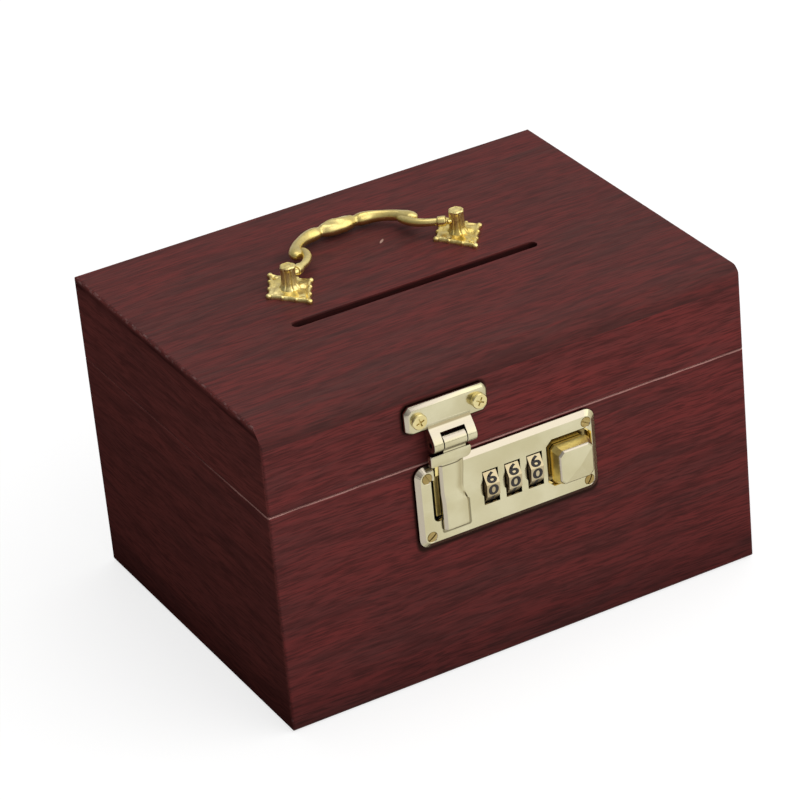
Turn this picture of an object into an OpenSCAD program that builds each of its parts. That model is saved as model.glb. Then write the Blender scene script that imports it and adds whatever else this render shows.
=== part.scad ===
// Wooden money box: a mitred case, a hinged lid with a coin slot and a folding carry handle,
// and a brass-look combination lock whose hasp hangs from the lid.
// +X runs to the right, +Y to the back, +Z up. The origin is the middle of the underside.

/* [Box] */
// Width of the box from side to side
box_w = 200; // [190:1:230]
// Depth of the box from front to back
box_d = 150; // [140:1:180]
// Height of the case up to the seam
case_h = 90.2; // [90:0.1:96]
// Height of the closed box
box_h = 125; // [123:0.5:132]
// Thickness of the side boards
board = 9; // [8.8:0.1:10]
// Thickness of the lid's top board
top_board = 8; // [6:0.5:10]
// Thickness of the bottom board
bottom_board = 5; // [4:0.5:8]
// Gap of the closed seam
seam_gap = 0.3; // [0.3:0.05:0.6]

/* [Edges] */
// Radius of the lid's front top edge
front_edge_r = 6.5; // [4:0.5:7]
// Radius of the lid's other top edges
top_edge_r = 1.3; // [1:0.1:4]
// Radius of the upright corners
corner_r = 1.2; // [1:0.1:3]
// Chamfer of the raw wood along the seam
seam_chamfer = 0.35; // [0.2:0.05:0.5]
// Radius of the edge round the underside
foot_r = 1.8; // [1:0.1:3]

/* [Coin slot] */
// Length of the coin slot
slot_l = 104; // [80:1:110]
// Width of the coin slot
slot_w = 4.8; // [4.6:0.1:5.5]
// Place of the slot's middle from side to side
slot_x = -1; // [-6:0.5:6]
// Place of the slot's middle from front to back
slot_y = -12.3; // [-16:0.1:-8]

/* [Handle] */
// Distance between the two handle posts
post_pitch = 72; // [70:0.5:76]
// Middle of the handle from side to side
handle_x = -4.5; // [-8:0.5:8]
// Place of the posts from front to back
handle_y = 12.7; // [11:0.1:18]
// Height of the bail's pivot above the lid
pivot_h = 6.5; // [6.2:0.1:7.5]
// Lean of the resting bail, from upright
bail_lean = 96; // [94:0.5:96]
// Thickness of the bail
bail_t = 4.8; // [3.5:0.1:5]
// Radius of a post
post_r = 2.8; // [2.5:0.1:3.2]
// Height of a post above its rosette
post_h = 9; // [8.5:0.1:10]

/* [Lock] */
// Middle of the lock plate from side to side
lock_x = -3.95; // [-8:0.05:8]
// Middle of the lock plate below the seam
lock_drop = 17.0; // [16.8:0.1:18]
// Width of the lock plate
plate_w = 75.4; // [75.4:0.1:78]
// Height of the lock plate
plate_h = 33.2; // [32:0.1:33.4]
// Thickness of the lock plate and the hasp plate
plate_t = 3; // [3:0.1:3.4]
// Distance between two number wheels
wheel_pitch = 9.3; // [9.3:0.05:9.5]
// Size of a number wheel across its flats
wheel_flats = 15.2; // [14.8:0.1:15.4]
// Travel of the lock button and its slide
slide_travel = 1.4; // [1.2:0.1:1.4]

/* [Hasp] */
// Middle of the hasp plate from side to side
hasp_x = -27; // [-27.4:0.1:-26.4]
// Width of the hasp plate
hasp_w = 34; // [33:0.1:36]
// Height of the hasp plate
hasp_h = 11.3; // [11:0.1:12]
// Height of the hasp's pin above the seam
hasp_rise = 9; // [8.8:0.1:9.4]
// Distance of the hasp's pin in front of the box
hasp_reach = 4.6; // [4.6:0.1:5]

/* [Hidden] */
$fn = 48;

// Colours
wood = [0.33, 0.13, 0.12];
raw_wood = [0.62, 0.42, 0.33];
pale_brass = [0.83, 0.78, 0.60];
gold_brass = [0.85, 0.68, 0.27];
steel = [0.62, 0.62, 0.63];

// Clearances
free = 0.3;
fit = 0.05;
snug = 0.02;
past = 1;

// Box
// The underside's round starts this far outside the faces and meets them at a small angle
foot_lead = 0.03;
front = -box_d / 2;
lid_z = case_h + seam_gap;
top_z = box_h - top_board;

// Rear hinges
leaf_w = 25;
leaf_t = 0.9;
leaf_reach = 8;
barrel_r = 2;
pin_r = 1;
hinge_x = 60;
hinge_y = box_d / 2 + barrel_r + free;
hinge_z = case_h + seam_gap / 2;
middle_barrel = 9.4;
leaf_screw_x = 8;
leaf_screw_y = box_d / 2 - leaf_reach / 2 - 0.6;
leaf_screw_r = 0.9;
leaf_screw_l = 9;

// Lock, in the lock's own frame: x from the plate's middle, y from the wheels' middle, z out of the box
lock_z = case_h - lock_drop;
plate_bevel = 1.6;
plate_corner = 3;
plate_shift = -0.35;
skin = 0.9;
axle_z = -2.8;
wheel_w = 5.7;
wheel_r = wheel_flats / 2 / cos(18);
wheel_rest = -4;
first_wheel = -8.15;
window_w = 6.6;
window_h = 13.9;
window_lift = 0.15;
scoop_r = 4;
scoop_x = -0.75;
scoop_depth = 0.5;
shaft_r = 1.2;
sleeve_r = 2.4;
sleeve_left = -4.2;
sleeve_right = 4.4;
disc_r = 4.4;
disc_t = 0.5;
fin_t = 0.4;
fin_gap = 0.25;
fin_w = 2.2;
gate_w = 3;
shaft_lug = 1.5;
screw_u = 33.3;
screw_v = 12.1;
screw_r = 1.3;
screw_l = 14;
head_r = 2.1;
channel_left = -30.95;
channel_right = -28.15;
slot_left = -32.35;
slot_floor = -6.6;
slot_shoulder = 10.8;
button_x = 25.45;
button_y = -0.45;
button_w = 14.6;
button_h = 14.1;
button_front = 8;
button_crown = 1.2;
button_cut = 1.2;
stem_w = 4;
stem_h = 5;
pocket_floor = 0.8;
pocket_left = 16.45;
pocket_right = 34.0;
pocket_low = -8.6;
pocket_high = 9.2;
pocket_cut = 1.6;
pocket_lip = 0.9;

// Lock housing
house_left = -34.4;
house_right = 34.9;
house_v = 10.4;
house_wall = 0.9;
house_back = -13.8;
boss_places = [[-20, -7.0], [20.2, 7.4]];
boss_r = 1.5;
boss_screw_r = 0.8;

// Bolt slide
strip_front = -11.2;
strip_t = 1.3;
strip_low = -3.2;
strip_high = 3.2;
tip_low = 1.3;
tip_high = 5.2;
tip_front = -2.0;
tip_back = -3.6;
riser_x = -26;
riser_t = 1.6;
tab_left = 22;
tab_right = 30.5;
tab_front = -1.8;
tab_t = 1.5;
driver_r = 2;

// Hook of the hasp arm, in the lock's frame
hook_left = -30.25;
hook_t = 0.9;
hook_front = -0.6;
hook_back = -5;
hook_low = -2.2;
hook_high = 15.4;
hook_neck = 12.2;
eye_gap = 0.45;

// Hasp, in the front face's frame
hasp_z = case_h + hasp_rise;
hasp_low = hasp_z + 5.1;
hasp_top = hasp_low + hasp_h;
hasp_cut = 2;
knuckle_r = 3;
knuckle_w = 17.6;
middle_w = 9.2;
knuckle_gap = 0.35;
knuckle_x = -27;
collar_left = -37;
collar_right = -20.2;
collar_low = case_h + 0.3;
collar_high = case_h + 4.9;
collar_front = 5.8;
arm_back = plate_t + 0.4;
arm_front = 5.5;
arm_left = -33.1;
arm_right = -22.4;
arm_low = 62.6;
arm_edge = 1.1;
hasp_screw_x = 12.3;
hasp_screw_z = hasp_low + 5.9;
hasp_head_r = 3;
hasp_head_h = 2.2;

// Handle
pivot_z = box_h + pivot_h;
rosette_t = 1.5;
rosette_x = 10;
rosette_y = 15;
rosette_bead = 1.2;
stud_r = 1.9;
stud_low = 111.5;
pivot_r = 1.1;
washer_t = 1;
nut_t = 3.2;
nut_flats = 7;
nail_y = 10.4;
nail_r = 0.7;
// Half of the bail's middle line from a post to its middle: distance from the middle, reach, width
bail_half = [
    [32.9, 0, 2.4], [30.6, 1.6, 2.6], [28.2, 3.6, 2.6], [26.0, 6.0, 2.8], [24.2, 9.0, 3.0],
    [23.4, 12.6, 4.2], [22.8, 16.4, 5.0], [21.4, 20.2, 4.8], [19.0, 23.6, 4.6], [15.8, 26.6, 4.4],
    [11.6, 28.4, 4.6], [6.0, 28.9, 5.6], [0, 29, 6.0],
];
bail_steps = 4;

function wheel_u(i) = first_wheel + i * wheel_pitch;

// ---------- frames and shared shapes ----------

// Puts children drawn as (x, height, distance out of the box) on the front face
module on_front() {
    translate([0, front, 0]) rotate([90, 0, 0]) children();
}

// The same frame, with its origin at the middle of the lock
module on_lock() {
    translate([lock_x, 0, lock_z]) on_front() children();
}

// Extrudes a (distance out of the box, height) profile from x0 to x1 on the front face
module front_profile(x0, x1) {
    translate([x0, front, 0]) rotate([90, 0, 90]) linear_extrude(x1 - x0) mirror([1, 0]) children();
}

// A cylinder along X between two x values, in the world frame
module rod_x(x0, x1, y, z, r) {
    translate([x0, y, z]) rotate([0, 90, 0]) cylinder(r = r, h = x1 - x0);
}

module rounded_rect(w, d, r) {
    square([w - 2 * r, d], center = true);
    square([w, d - 2 * r], center = true);
    for (x = [-1, 1], y = [-1, 1]) translate([x * (w / 2 - r), y * (d / 2 - r)]) circle(r = r);
}

module cut_corner_rect(w, d, c) {
    polygon([
        [-w / 2 + c, -d / 2], [w / 2 - c, -d / 2], [w / 2, -d / 2 + c], [w / 2, d / 2 - c],
        [w / 2 - c, d / 2], [-w / 2 + c, d / 2], [-w / 2, d / 2 - c], [-w / 2, -d / 2 + c],
    ]);
}

// The profile of a plate lying in x-y with its upper edges bevelled
module bevel_profile(w, t, b) {
    polygon([[-w / 2, 0], [w / 2, 0], [w / 2, t - b], [w / 2 - b, t], [-w / 2 + b, t], [-w / 2, t - b]]);
}

// A w by h plate, t thick, with bevelled front edges and the outline given as the child
module bevelled_plate(w, h, t, b) {
    intersection() {
        linear_extrude(t) children();
        translate([0, h, 0]) rotate([90, 0, 0]) linear_extrude(2 * h) bevel_profile(w, t, b);
        translate([-w, 0, 0]) rotate([90, 0, 90]) linear_extrude(2 * w) bevel_profile(h, t, b);
    }
}

// A screw along -z with its head's top at 0: countersunk when head_h is 0
module screw(head, head_h, shank, length) {
    translate([0, 0, -length]) cylinder(r = shank, h = length - 0.5);
    if (head_h == 0) {
        translate([0, 0, -1.2]) cylinder(r1 = shank, r2 = head, h = 1.2);
    } else {
        translate([0, 0, -0.6]) cylinder(r = shank, h = 0.7);
        cylinder(r = head, h = head_h);
    }
}

// ---------- wooden boards ----------

// The mitred quarter of a frame that lies on the front (0), right (1), back (2) or left (3)
module mitre(side) {
    long = side % 2 == 0 ? box_w : box_d;
    deep = side % 2 == 0 ? box_d : box_w;
    rotate(side * 90) polygon([
        [-long / 2, -deep / 2], [long / 2, -deep / 2],
        [long / 2 - board, -deep / 2 + board], [-long / 2 + board, -deep / 2 + board],
    ]);
}

module wall(side, h) {
    linear_extrude(h) intersection() {
        rounded_rect(box_w, box_d, corner_r);
        mitre(side);
    }
}

// Takes the outer edge off all round at height z: up = 1 for a top edge, -1 for a bottom edge
module edge_cut(z, c, up) {
    for (side = [0:3]) {
        reach = side % 2 == 0 ? box_d / 2 : box_w / 2;
        rotate(side * 90) translate([-box_w, -reach, z]) rotate([90, 0, 90]) linear_extrude(2 * box_w)
            polygon([[-past, up * past], [c + past, up * past], [-past, -up * (c + past)]]);
    }
}

// Rounds the outer edge all round the underside
module foot_cut() {
    for (side = [0:3]) {
        reach = side % 2 == 0 ? box_d / 2 : box_w / 2;
        rotate(side * 90) translate([-box_w, -reach, 0]) rotate([90, 0, 90]) linear_extrude(2 * box_w)
            difference() {
                translate([-past, -past]) square(past + foot_r - foot_lead);
                translate([foot_r - foot_lead, foot_r - foot_lead]) circle(r = foot_r);
            }
    }
}

module case_wall(side) {
    color(wood) difference() {
        wall(side, case_h);
        edge_cut(case_h, seam_chamfer, 1);
        foot_cut();
        if (side == 0) {
            lock_cutout();
            lock_screw_holes();
        }
        if (side == 2) leaf_recesses(-1);
    }
}

module lid_wall(side) {
    color(wood) difference() {
        translate([0, 0, lid_z]) wall(side, top_z - lid_z);
        edge_cut(lid_z, seam_chamfer, -1);
        if (side == 0) on_front() hasp_screw_places() translate([0, 0, -screw_l - snug])
            cylinder(r = screw_r + snug, h = screw_l + past);
        if (side == 2) leaf_recesses(1);
    }
}

module case_bottom() {
    color(raw_wood) translate([-box_w / 2 + board, -box_d / 2 + board, 0])
        cube([box_w - 2 * board, box_d - 2 * board, bottom_board]);
}

// Section of the lid board with a round of radius r0 at its low end and r1 at its high end
module edge_profile(length, r0, r1) {
    square([length, top_board - max(r0, r1)]);
    translate([r0, 0]) square([length - r0 - r1, top_board]);
    translate([r0, top_board - r0]) circle(r = r0);
    translate([length - r1, top_board - r1]) circle(r = r1);
    translate([0, 0]) square([r0, top_board - r0]);
    translate([length - r1, 0]) square([r1, top_board - r1]);
}

module lid_top() {
    color(wood) difference() {
        translate([0, 0, top_z]) intersection() {
            linear_extrude(top_board) rounded_rect(box_w, box_d, corner_r);
            translate([-box_w, -box_d / 2, 0]) rotate([90, 0, 90]) linear_extrude(2 * box_w)
                edge_profile(box_d, front_edge_r, top_edge_r);
            translate([-box_w / 2, box_d, 0]) rotate([90, 0, 0]) linear_extrude(2 * box_d)
                edge_profile(box_w, top_edge_r, top_edge_r);
        }
        translate([slot_x, slot_y, top_z - past]) linear_extrude(top_board + 2 * past) {
            square([slot_l - slot_w, slot_w], center = true);
            for (s = [-1, 1]) translate([s * (slot_l - slot_w) / 2, 0]) circle(r = slot_w / 2);
        }
        posts() translate([0, 0, top_z - past]) cylinder(r = stud_r + snug, h = top_board + 2 * past);
        posts() nail_places() translate([0, 0, box_h - 6]) cylinder(r = nail_r + snug, h = 6 + past);
    }
}

// ---------- rear hinges ----------

// Recesses for the leaves in the back boards: up = -1 in the case, 1 in the lid
module leaf_recesses(up) {
    low = up < 0 ? case_h - leaf_t - snug : lid_z - past;
    for (s = [-1, 1]) translate([s * hinge_x, 0, 0]) {
        translate([-leaf_w / 2 - snug, box_d / 2 - leaf_reach - snug, low])
            cube([leaf_w + 2 * snug, leaf_reach + past, leaf_t + past + snug]);
        leaf_screw_places() translate([0, 0, up < 0 ? case_h - leaf_screw_l - snug : lid_z - past])
            cylinder(r = leaf_screw_r + snug, h = leaf_screw_l + past + snug);
    }
}

module leaf_screw_places() {
    for (s = [-1, 1]) translate([s * leaf_screw_x, leaf_screw_y, 0]) children();
}

// A leaf with its barrels: the case's leaf has the two outer barrels, the lid's the middle one
module hinge_leaf(up) {
    low = up < 0 ? case_h - leaf_t : lid_z;
    clear_y = box_d / 2 - 0.6;
    spans = up < 0
        ? [[-leaf_w / 2, -middle_barrel / 2 - free], [middle_barrel / 2 + free, leaf_w / 2]]
        : [[-middle_barrel / 2, middle_barrel / 2]];
    color(gold_brass) difference() {
        union() {
            translate([-leaf_w / 2, box_d / 2 - leaf_reach, low]) cube([leaf_w, clear_y - box_d / 2 + leaf_reach, leaf_t]);
            for (s = spans) {
                translate([s[0], clear_y - 0.5, low]) cube([s[1] - s[0], hinge_y - clear_y + 0.5, leaf_t]);
                rod_x(s[0], s[1], hinge_y, hinge_z, barrel_r);
            }
        }
        rod_x(-leaf_w, leaf_w, hinge_y, hinge_z, pin_r + fit);
        leaf_screw_places() translate([0, 0, low - past]) cylinder(r = leaf_screw_r + snug, h = leaf_t + 2 * past);
        leaf_screw_places() translate([0, 0, up < 0 ? low + leaf_t - 0.7 : low - past])
            cylinder(r = leaf_screw_r + 0.9 + snug, h = 0.7 + past);
    }
}

module hinge_pin() {
    color(steel) rod_x(-leaf_w / 2, leaf_w / 2, hinge_y, hinge_z, pin_r);
}

module leaf_screws(up) {
    color(gold_brass) for (s = [-1, 1]) translate([s * hinge_x, 0, 0]) leaf_screw_places()
        translate([0, 0, up < 0 ? case_h : lid_z]) mirror([0, 0, up < 0 ? 0 : 1]) {
            translate([0, 0, -leaf_screw_l]) cylinder(r = leaf_screw_r, h = leaf_screw_l - 0.3);
            translate([0, 0, -0.65]) cylinder(r = leaf_screw_r + 0.9, h = 0.6);
        }
}

// ---------- lock ----------

module lock_screw_places() {
    for (x = [-1, 1], y = [-1, 1]) translate([plate_shift + x * screw_u, y * screw_v, 0]) children();
}

module lock_screw_holes() {
    on_lock() lock_screw_places() translate([0, 0, -screw_l - snug]) cylinder(r = screw_r + snug, h = screw_l + past);
}

// The opening in the front board for the lock's housing, and the channel above it for the hook
module lock_cutout() {
    on_lock() {
        translate([house_left - snug, -house_v - snug, -board - past])
            cube([house_right - house_left + 2 * snug, 2 * house_v + 2 * snug, board + 2 * past]);
        translate([channel_left - free, 0, hook_back - 1])
            cube([channel_right - channel_left + 2 * free, lock_drop + past, past - hook_back + 1]);
    }
}

module hook_channel(depth) {
    r = (channel_right - slot_left) / 2;
    translate([slot_left, slot_floor + r, 0]) cube([2 * r, slot_shoulder - slot_floor - r, depth]);
    translate([slot_left + r, slot_floor + r, 0]) cylinder(r = r, h = depth);
    translate([channel_left, 0, 0]) cube([channel_right - channel_left, plate_h, depth]);
}

module lock_plate() {
    color(pale_brass) on_lock() difference() {
        union() {
            translate([plate_shift, -0.1, 0]) bevelled_plate(plate_w, plate_h, plate_t, plate_bevel)
                rounded_rect(plate_w, plate_h, plate_corner);
            for (u = [wheel_u(0) + sleeve_left - free - shaft_lug, wheel_u(2) + sleeve_right + free])
                translate([u, -3, axle_z - 2.2]) cube([shaft_lug, 6, 3.5 - axle_z]);
            for (p = boss_places) translate([p[0], p[1], house_back + house_wall])
                cylinder(r = boss_r, h = 0.5 - house_back - house_wall);
        }
        // Windows, scoops and the hollow behind the wheels
        for (i = [0:2]) translate([wheel_u(i), window_lift, 0]) {
            translate([-window_w / 2, -window_h / 2, -past]) cube([window_w, window_h, plate_t + 2 * past]);
            translate([scoop_x, 0, plate_t - scoop_depth]) cylinder(r = scoop_r, h = past);
        }
        translate([wheel_u(0) + sleeve_left - free, -wheel_r - 0.4, -past])
            cube([wheel_u(2) - wheel_u(0) + sleeve_right - sleeve_left + 2 * free, 2 * wheel_r + 0.8,
                past + plate_t - skin]);
        // Way for the hook
        translate([0, 0, -past]) hook_channel(plate_t + 2 * past);
        // Pocket of the button, with its bevelled lip and the slot for the stem
        button_pocket();
        translate([button_x - stem_w / 2 - slide_travel - free, button_y - stem_h / 2 - free, -past])
            cube([stem_w + slide_travel + 2 * free, stem_h + 2 * free, plate_t]);
        // Bores
        translate([-plate_w, 0, axle_z]) rotate([0, 90, 0]) cylinder(r = shaft_r + fit, h = 2 * plate_w);
        lock_screw_places() {
            translate([0, 0, -past]) cylinder(r = screw_r + snug, h = plate_t + 2 * past);
            translate([0, 0, plate_t - 1.2 - 0.1]) cylinder(r1 = screw_r + snug, r2 = head_r + snug + 0.1, h = 1.31);
        }
        for (p = boss_places) translate([p[0], p[1], house_back])
            cylinder(r = boss_screw_r + snug, h = 7);
    }
}

module button_pocket() {
    w = pocket_right - pocket_left;
    h = pocket_high - pocket_low;
    translate([(pocket_left + pocket_right) / 2, (pocket_low + pocket_high) / 2, 0]) {
        translate([0, 0, pocket_floor]) linear_extrude(plate_t) cut_corner_rect(w, h, pocket_cut);
        intersection() {
            linear_extrude(2 * plate_t) cut_corner_rect(w + 2 * pocket_lip, h + 2 * pocket_lip, pocket_cut + pocket_lip);
            translate([0, h, 0]) rotate([90, 0, 0]) linear_extrude(2 * h) lip_profile(w);
            translate([-w, 0, 0]) rotate([90, 0, 90]) linear_extrude(2 * w) lip_profile(h);
        }
    }
}

// The flare of the lip at the plate's face
module lip_profile(w) {
    polygon([
        [-w / 2, plate_t - pocket_lip], [w / 2, plate_t - pocket_lip],
        [w / 2 + pocket_lip, plate_t], [w / 2 + pocket_lip, plate_t + past],
        [-w / 2 - pocket_lip, plate_t + past], [-w / 2 - pocket_lip, plate_t],
    ]);
}

module lock_screws() {
    color(gold_brass) on_lock() lock_screw_places() translate([0, 0, plate_t]) screw(head_r, 0, screw_r, screw_l);
}

module lock_housing() {
    color(steel) on_lock() difference() {
        translate([house_left, -house_v, house_back]) cube([house_right - house_left, 2 * house_v, -house_back]);
        translate([house_left + house_wall, -house_v + house_wall, house_back + house_wall])
            cube([house_right - house_left - 2 * house_wall, 2 * (house_v - house_wall), -house_back]);
        translate([channel_left - free, 0, hook_back - 1])
            cube([channel_right - channel_left + 2 * free, plate_h, plate_h]);
        for (p = boss_places) translate([p[0], p[1], house_back - past])
            cylinder(r = boss_screw_r + snug, h = 3);
    }
}

module housing_screws() {
    color(steel) on_lock() for (p = boss_places) translate([p[0], p[1], house_back]) mirror([0, 0, 1])
        screw(1.6, 1, boss_screw_r, 5);
}

module wheel_shaft() {
    left = wheel_u(0) + sleeve_left - free - shaft_lug;
    right = wheel_u(2) + sleeve_right + free + shaft_lug;
    color(steel) on_lock() translate([left, 0, axle_z]) rotate([0, 90, 0]) cylinder(r = shaft_r, h = right - left);
}

module detent_spring() {
    strip = 0.4;
    lower = 1.2;
    color(steel) on_lock() translate([0, house_v - house_wall, 0]) {
        translate([wheel_u(0) - 3, -strip, axle_z - 5]) cube([2 * wheel_pitch + 6, strip, 7]);
        for (i = [0:2]) translate([wheel_u(i) - 1.2, -lower, axle_z - 0.8]) cube([2.4, lower, 1.6]);
    }
}

// Ten flats about X, with the flat of the digit nought a little below the level
module number_wheel(i) {
    color(pale_brass) on_lock() translate([wheel_u(i), 0, axle_z]) difference() {
        rotate([0, 90, 0]) rotate(18 - wheel_rest) cylinder(r = wheel_r, h = wheel_w, center = true, $fn = 10);
        rotate([0, 90, 0]) cylinder(r = sleeve_r + snug, h = 2 * wheel_w, center = true);
    }
}

// The sleeve keyed in a wheel, with the gate disc that stops or frees the slide
module code_sleeve(i) {
    disc_u = sleeve_right - disc_t;
    color(gold_brass) on_lock() translate([wheel_u(i), 0, axle_z]) difference() {
        rotate([0, 90, 0]) {
            translate([0, 0, sleeve_left]) cylinder(r = sleeve_r, h = sleeve_right - sleeve_left);
            translate([0, 0, disc_u]) cylinder(r = disc_r, h = disc_t);
        }
        rotate([0, 90, 0]) cylinder(r = shaft_r + fit, h = 4 * wheel_w, center = true);
        translate([disc_u - free, -gate_w / 2, -disc_r - past]) cube([disc_t + past, gate_w, disc_r + past - sleeve_r]);
    }
}

module lock_button() {
    color(pale_brass) on_lock() translate([button_x, button_y, 0]) {
        difference() {
            union() {
                translate([0, 0, pocket_floor + free]) intersection() {
                    linear_extrude(button_front + button_crown) cut_corner_rect(button_w, button_h, button_cut);
                    translate([0, button_h, 0]) rotate([90, 0, 0]) linear_extrude(2 * button_h)
                        roof_profile(button_w);
                    translate([-button_w, 0, 0]) rotate([90, 0, 90]) linear_extrude(2 * button_w)
                        roof_profile(button_h);
                }
                translate([-stem_w / 2, -stem_h / 2, tab_front]) cube([stem_w, stem_h, pocket_floor + 1 - tab_front]);
            }
            translate([0, 0, tab_front - past]) cylinder(r = boss_screw_r + snug, h = 4.1);
        }
    }
}

// A low roof whose eaves stand at the button's front edge
module roof_profile(w) {
    eave = button_front - pocket_floor - free;
    polygon([[-w / 2, 0], [w / 2, 0], [w / 2, eave], [0, eave + button_crown], [-w / 2, eave]]);
}

module bolt_slide() {
    back = strip_front - strip_t;
    fin_u = sleeve_right + fin_gap;
    tip_end = hook_left + hook_t + free;
    color(steel) on_lock() difference() {
        union() {
            translate([riser_x, strip_low, back]) cube([tab_right - riser_x, strip_high - strip_low, strip_t]);
            translate([riser_x, strip_low, back]) cube([riser_t, tip_high - strip_low, tip_front - back]);
            translate([tip_end, tip_low, tip_back]) cube([riser_x + 1 - tip_end, tip_high - tip_low, tip_front - tip_back]);
            translate([tab_right - 1.5, strip_low, back]) cube([1.5, strip_high - strip_low, tab_front - back]);
            translate([tab_left, strip_low, tab_front - tab_t]) cube([tab_right - tab_left, strip_high - strip_low, tab_t]);
            for (i = [0:2]) translate([wheel_u(i) + fin_u, -fin_w / 2, strip_front - 0.5])
                cube([fin_t, fin_w, axle_z - sleeve_r - 0.4 - strip_front + 0.5]);
        }
        translate([button_x, button_y, back - past]) cylinder(r = boss_screw_r + snug, h = 20);
        translate([button_x, button_y, back - past]) cylinder(r = driver_r, h = strip_t + 2 * past);
    }
}

module button_screw() {
    color(steel) on_lock() translate([button_x, button_y, tab_front - tab_t]) mirror([0, 0, 1])
        screw(1.6, 1, boss_screw_r, 4.5);
}

// ---------- hasp ----------

module hasp_screw_places() {
    for (s = [-1, 1]) translate([hasp_x + s * hasp_screw_x, hasp_screw_z, 0]) children();
}

module hasp_plate() {
    left = knuckle_x - knuckle_w / 2;
    right = knuckle_x + knuckle_w / 2;
    color(pale_brass) difference() {
        union() {
            on_front() translate([hasp_x, hasp_low + hasp_h / 2, 0])
                bevelled_plate(hasp_w, hasp_h, plate_t, plate_bevel) cut_corner_rect(hasp_w, hasp_h, hasp_cut);
            front_profile(left, right) neck_profile();
            rod_x(left, right, front - hasp_reach, hasp_z, knuckle_r);
        }
        // Room for the arm's own knuckle
        translate([knuckle_x - middle_w / 2 - knuckle_gap, front - 12, hasp_z - 6])
            cube([middle_w + 2 * knuckle_gap, 12 - 0.01, 6 + 4.6]);
        rod_x(left - past, right + past, front - hasp_reach, hasp_z, pin_r + fit);
        on_front() hasp_screw_places() translate([0, 0, -past]) cylinder(r = screw_r + snug, h = plate_t + 2 * past);
    }
}

// The bent neck between the plate and the knuckles: distance out, height
module neck_profile() {
    polygon([
        [0.3, hasp_low + 1.5], [plate_t, hasp_low + 2.9], [hasp_reach + 2.5, hasp_z + 1.66],
        [hasp_reach, hasp_z], [hasp_reach - 2.8, hasp_z - 1.07], [0.9, hasp_z + 1.2], [0.3, hasp_z + 3],
    ]);
}

module hasp_arm() {
    left = knuckle_x - middle_w / 2;
    right = knuckle_x + middle_w / 2;
    color(pale_brass) difference() {
        union() {
            rod_x(left, right, front - hasp_reach, hasp_z, knuckle_r);
            front_profile(left, right) polygon([
                [arm_back, collar_high - 0.5], [collar_front, collar_high - 0.5],
                [hasp_reach + 2.6, hasp_z - 1.5], [hasp_reach, hasp_z], [hasp_reach - 1.6, hasp_z - 2.5],
            ]);
            on_front() {
                translate([collar_left, collar_low, arm_back])
                    cube([collar_right - collar_left, collar_high - collar_low, collar_front - arm_back]);
                tongue();
            }
            on_lock() hook();
        }
        rod_x(left - past, right + past, front - hasp_reach, hasp_z, pin_r + fit);
    }
}

module tongue() {
    w = arm_right - arm_left;
    translate([arm_left, collar_low + 0.5, 0]) rotate([90, 0, 0]) linear_extrude(collar_low + 0.5 - arm_low)
        polygon([[0, arm_back], [w, arm_back], [w, arm_front - 1], [w - arm_edge, arm_front],
            [arm_edge, arm_front], [0, arm_front - 1]]);
}

// The flat hook that hangs from the collar through the plate, with the eye for the bolt's tip
module hook() {
    difference() {
        translate([hook_left, 0, 0]) rotate([90, 0, 90]) linear_extrude(hook_t) polygon([
            [hook_low, hook_back], [hook_high, hook_back], [hook_high, plate_t + 0.2], [hook_high + 1.6, plate_t + 0.2],
            [hook_high + 1.6, arm_back + 1], [hook_high + 4, arm_back + 1], [hook_high + 4, arm_back + 1.5],
            [hook_neck + 5, arm_back + 1.5], [hook_neck + 4.3, plate_t + 0.5],
            [hook_neck, plate_t + 0.2], [hook_neck, hook_front], [hook_low, hook_front],
        ]);
        translate([hook_left - past, tip_low - eye_gap, tip_back - eye_gap])
            cube([hook_t + 2 * past, tip_high - tip_low + 2 * eye_gap, tip_front - tip_back + 2 * eye_gap]);
    }
}

module hasp_pin() {
    color(steel) rod_x(knuckle_x - knuckle_w / 2, knuckle_x + knuckle_w / 2, front - hasp_reach, hasp_z, pin_r);
}

module hasp_screws() {
    color(gold_brass) on_front() hasp_screw_places() translate([0, 0, plate_t])
        screw(hasp_head_r, hasp_head_h, screw_r, screw_l);
}

// ---------- handle ----------

module posts() {
    for (s = [-1, 1]) translate([handle_x + s * post_pitch / 2, handle_y, 0]) children();
}

module post(s) {
    color(gold_brass) translate([handle_x + s * post_pitch / 2, handle_y, 0]) difference() {
        union() {
            translate([0, 0, stud_low]) cylinder(r = stud_r, h = box_h - stud_low + rosette_t + 0.5);
            translate([0, 0, box_h + rosette_t]) cylinder(r = post_r, h = post_h);
        }
        rod_x(-2 * post_r, 2 * post_r, 0, pivot_z, pivot_r + fit);
    }
}

module nail_places() {
    for (s = [-1, 1]) translate([0, s * nail_y, 0]) children();
}

module rosette(s) {
    color(gold_brass) translate([handle_x + s * post_pitch / 2, handle_y, box_h]) difference() {
        linear_extrude(rosette_t) {
            polygon([[-rosette_x, 0], [0, -rosette_y], [rosette_x, 0], [0, rosette_y]]);
            for (k = [-1, 1]) {
                translate([k * (rosette_x - 0.6), 0]) circle(r = rosette_bead);
                translate([0, k * (rosette_y - 0.6)]) circle(r = rosette_bead);
                for (m = [-1, 1]) translate([k * rosette_x / 2, m * rosette_y / 2]) circle(r = rosette_bead);
            }
        }
        translate([0, 0, -past]) cylinder(r = stud_r + snug, h = rosette_t + 2 * past);
        nail_places() translate([0, 0, -past]) cylinder(r = nail_r + snug, h = rosette_t + 2 * past);
    }
}

module rosette_nails() {
    color(gold_brass) posts() nail_places() translate([0, 0, box_h + rosette_t]) {
        translate([0, 0, -6]) cylinder(r = nail_r, h = 6);
        cylinder(r1 = 1.3, r2 = 0.8, h = 0.5);
    }
}

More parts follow.
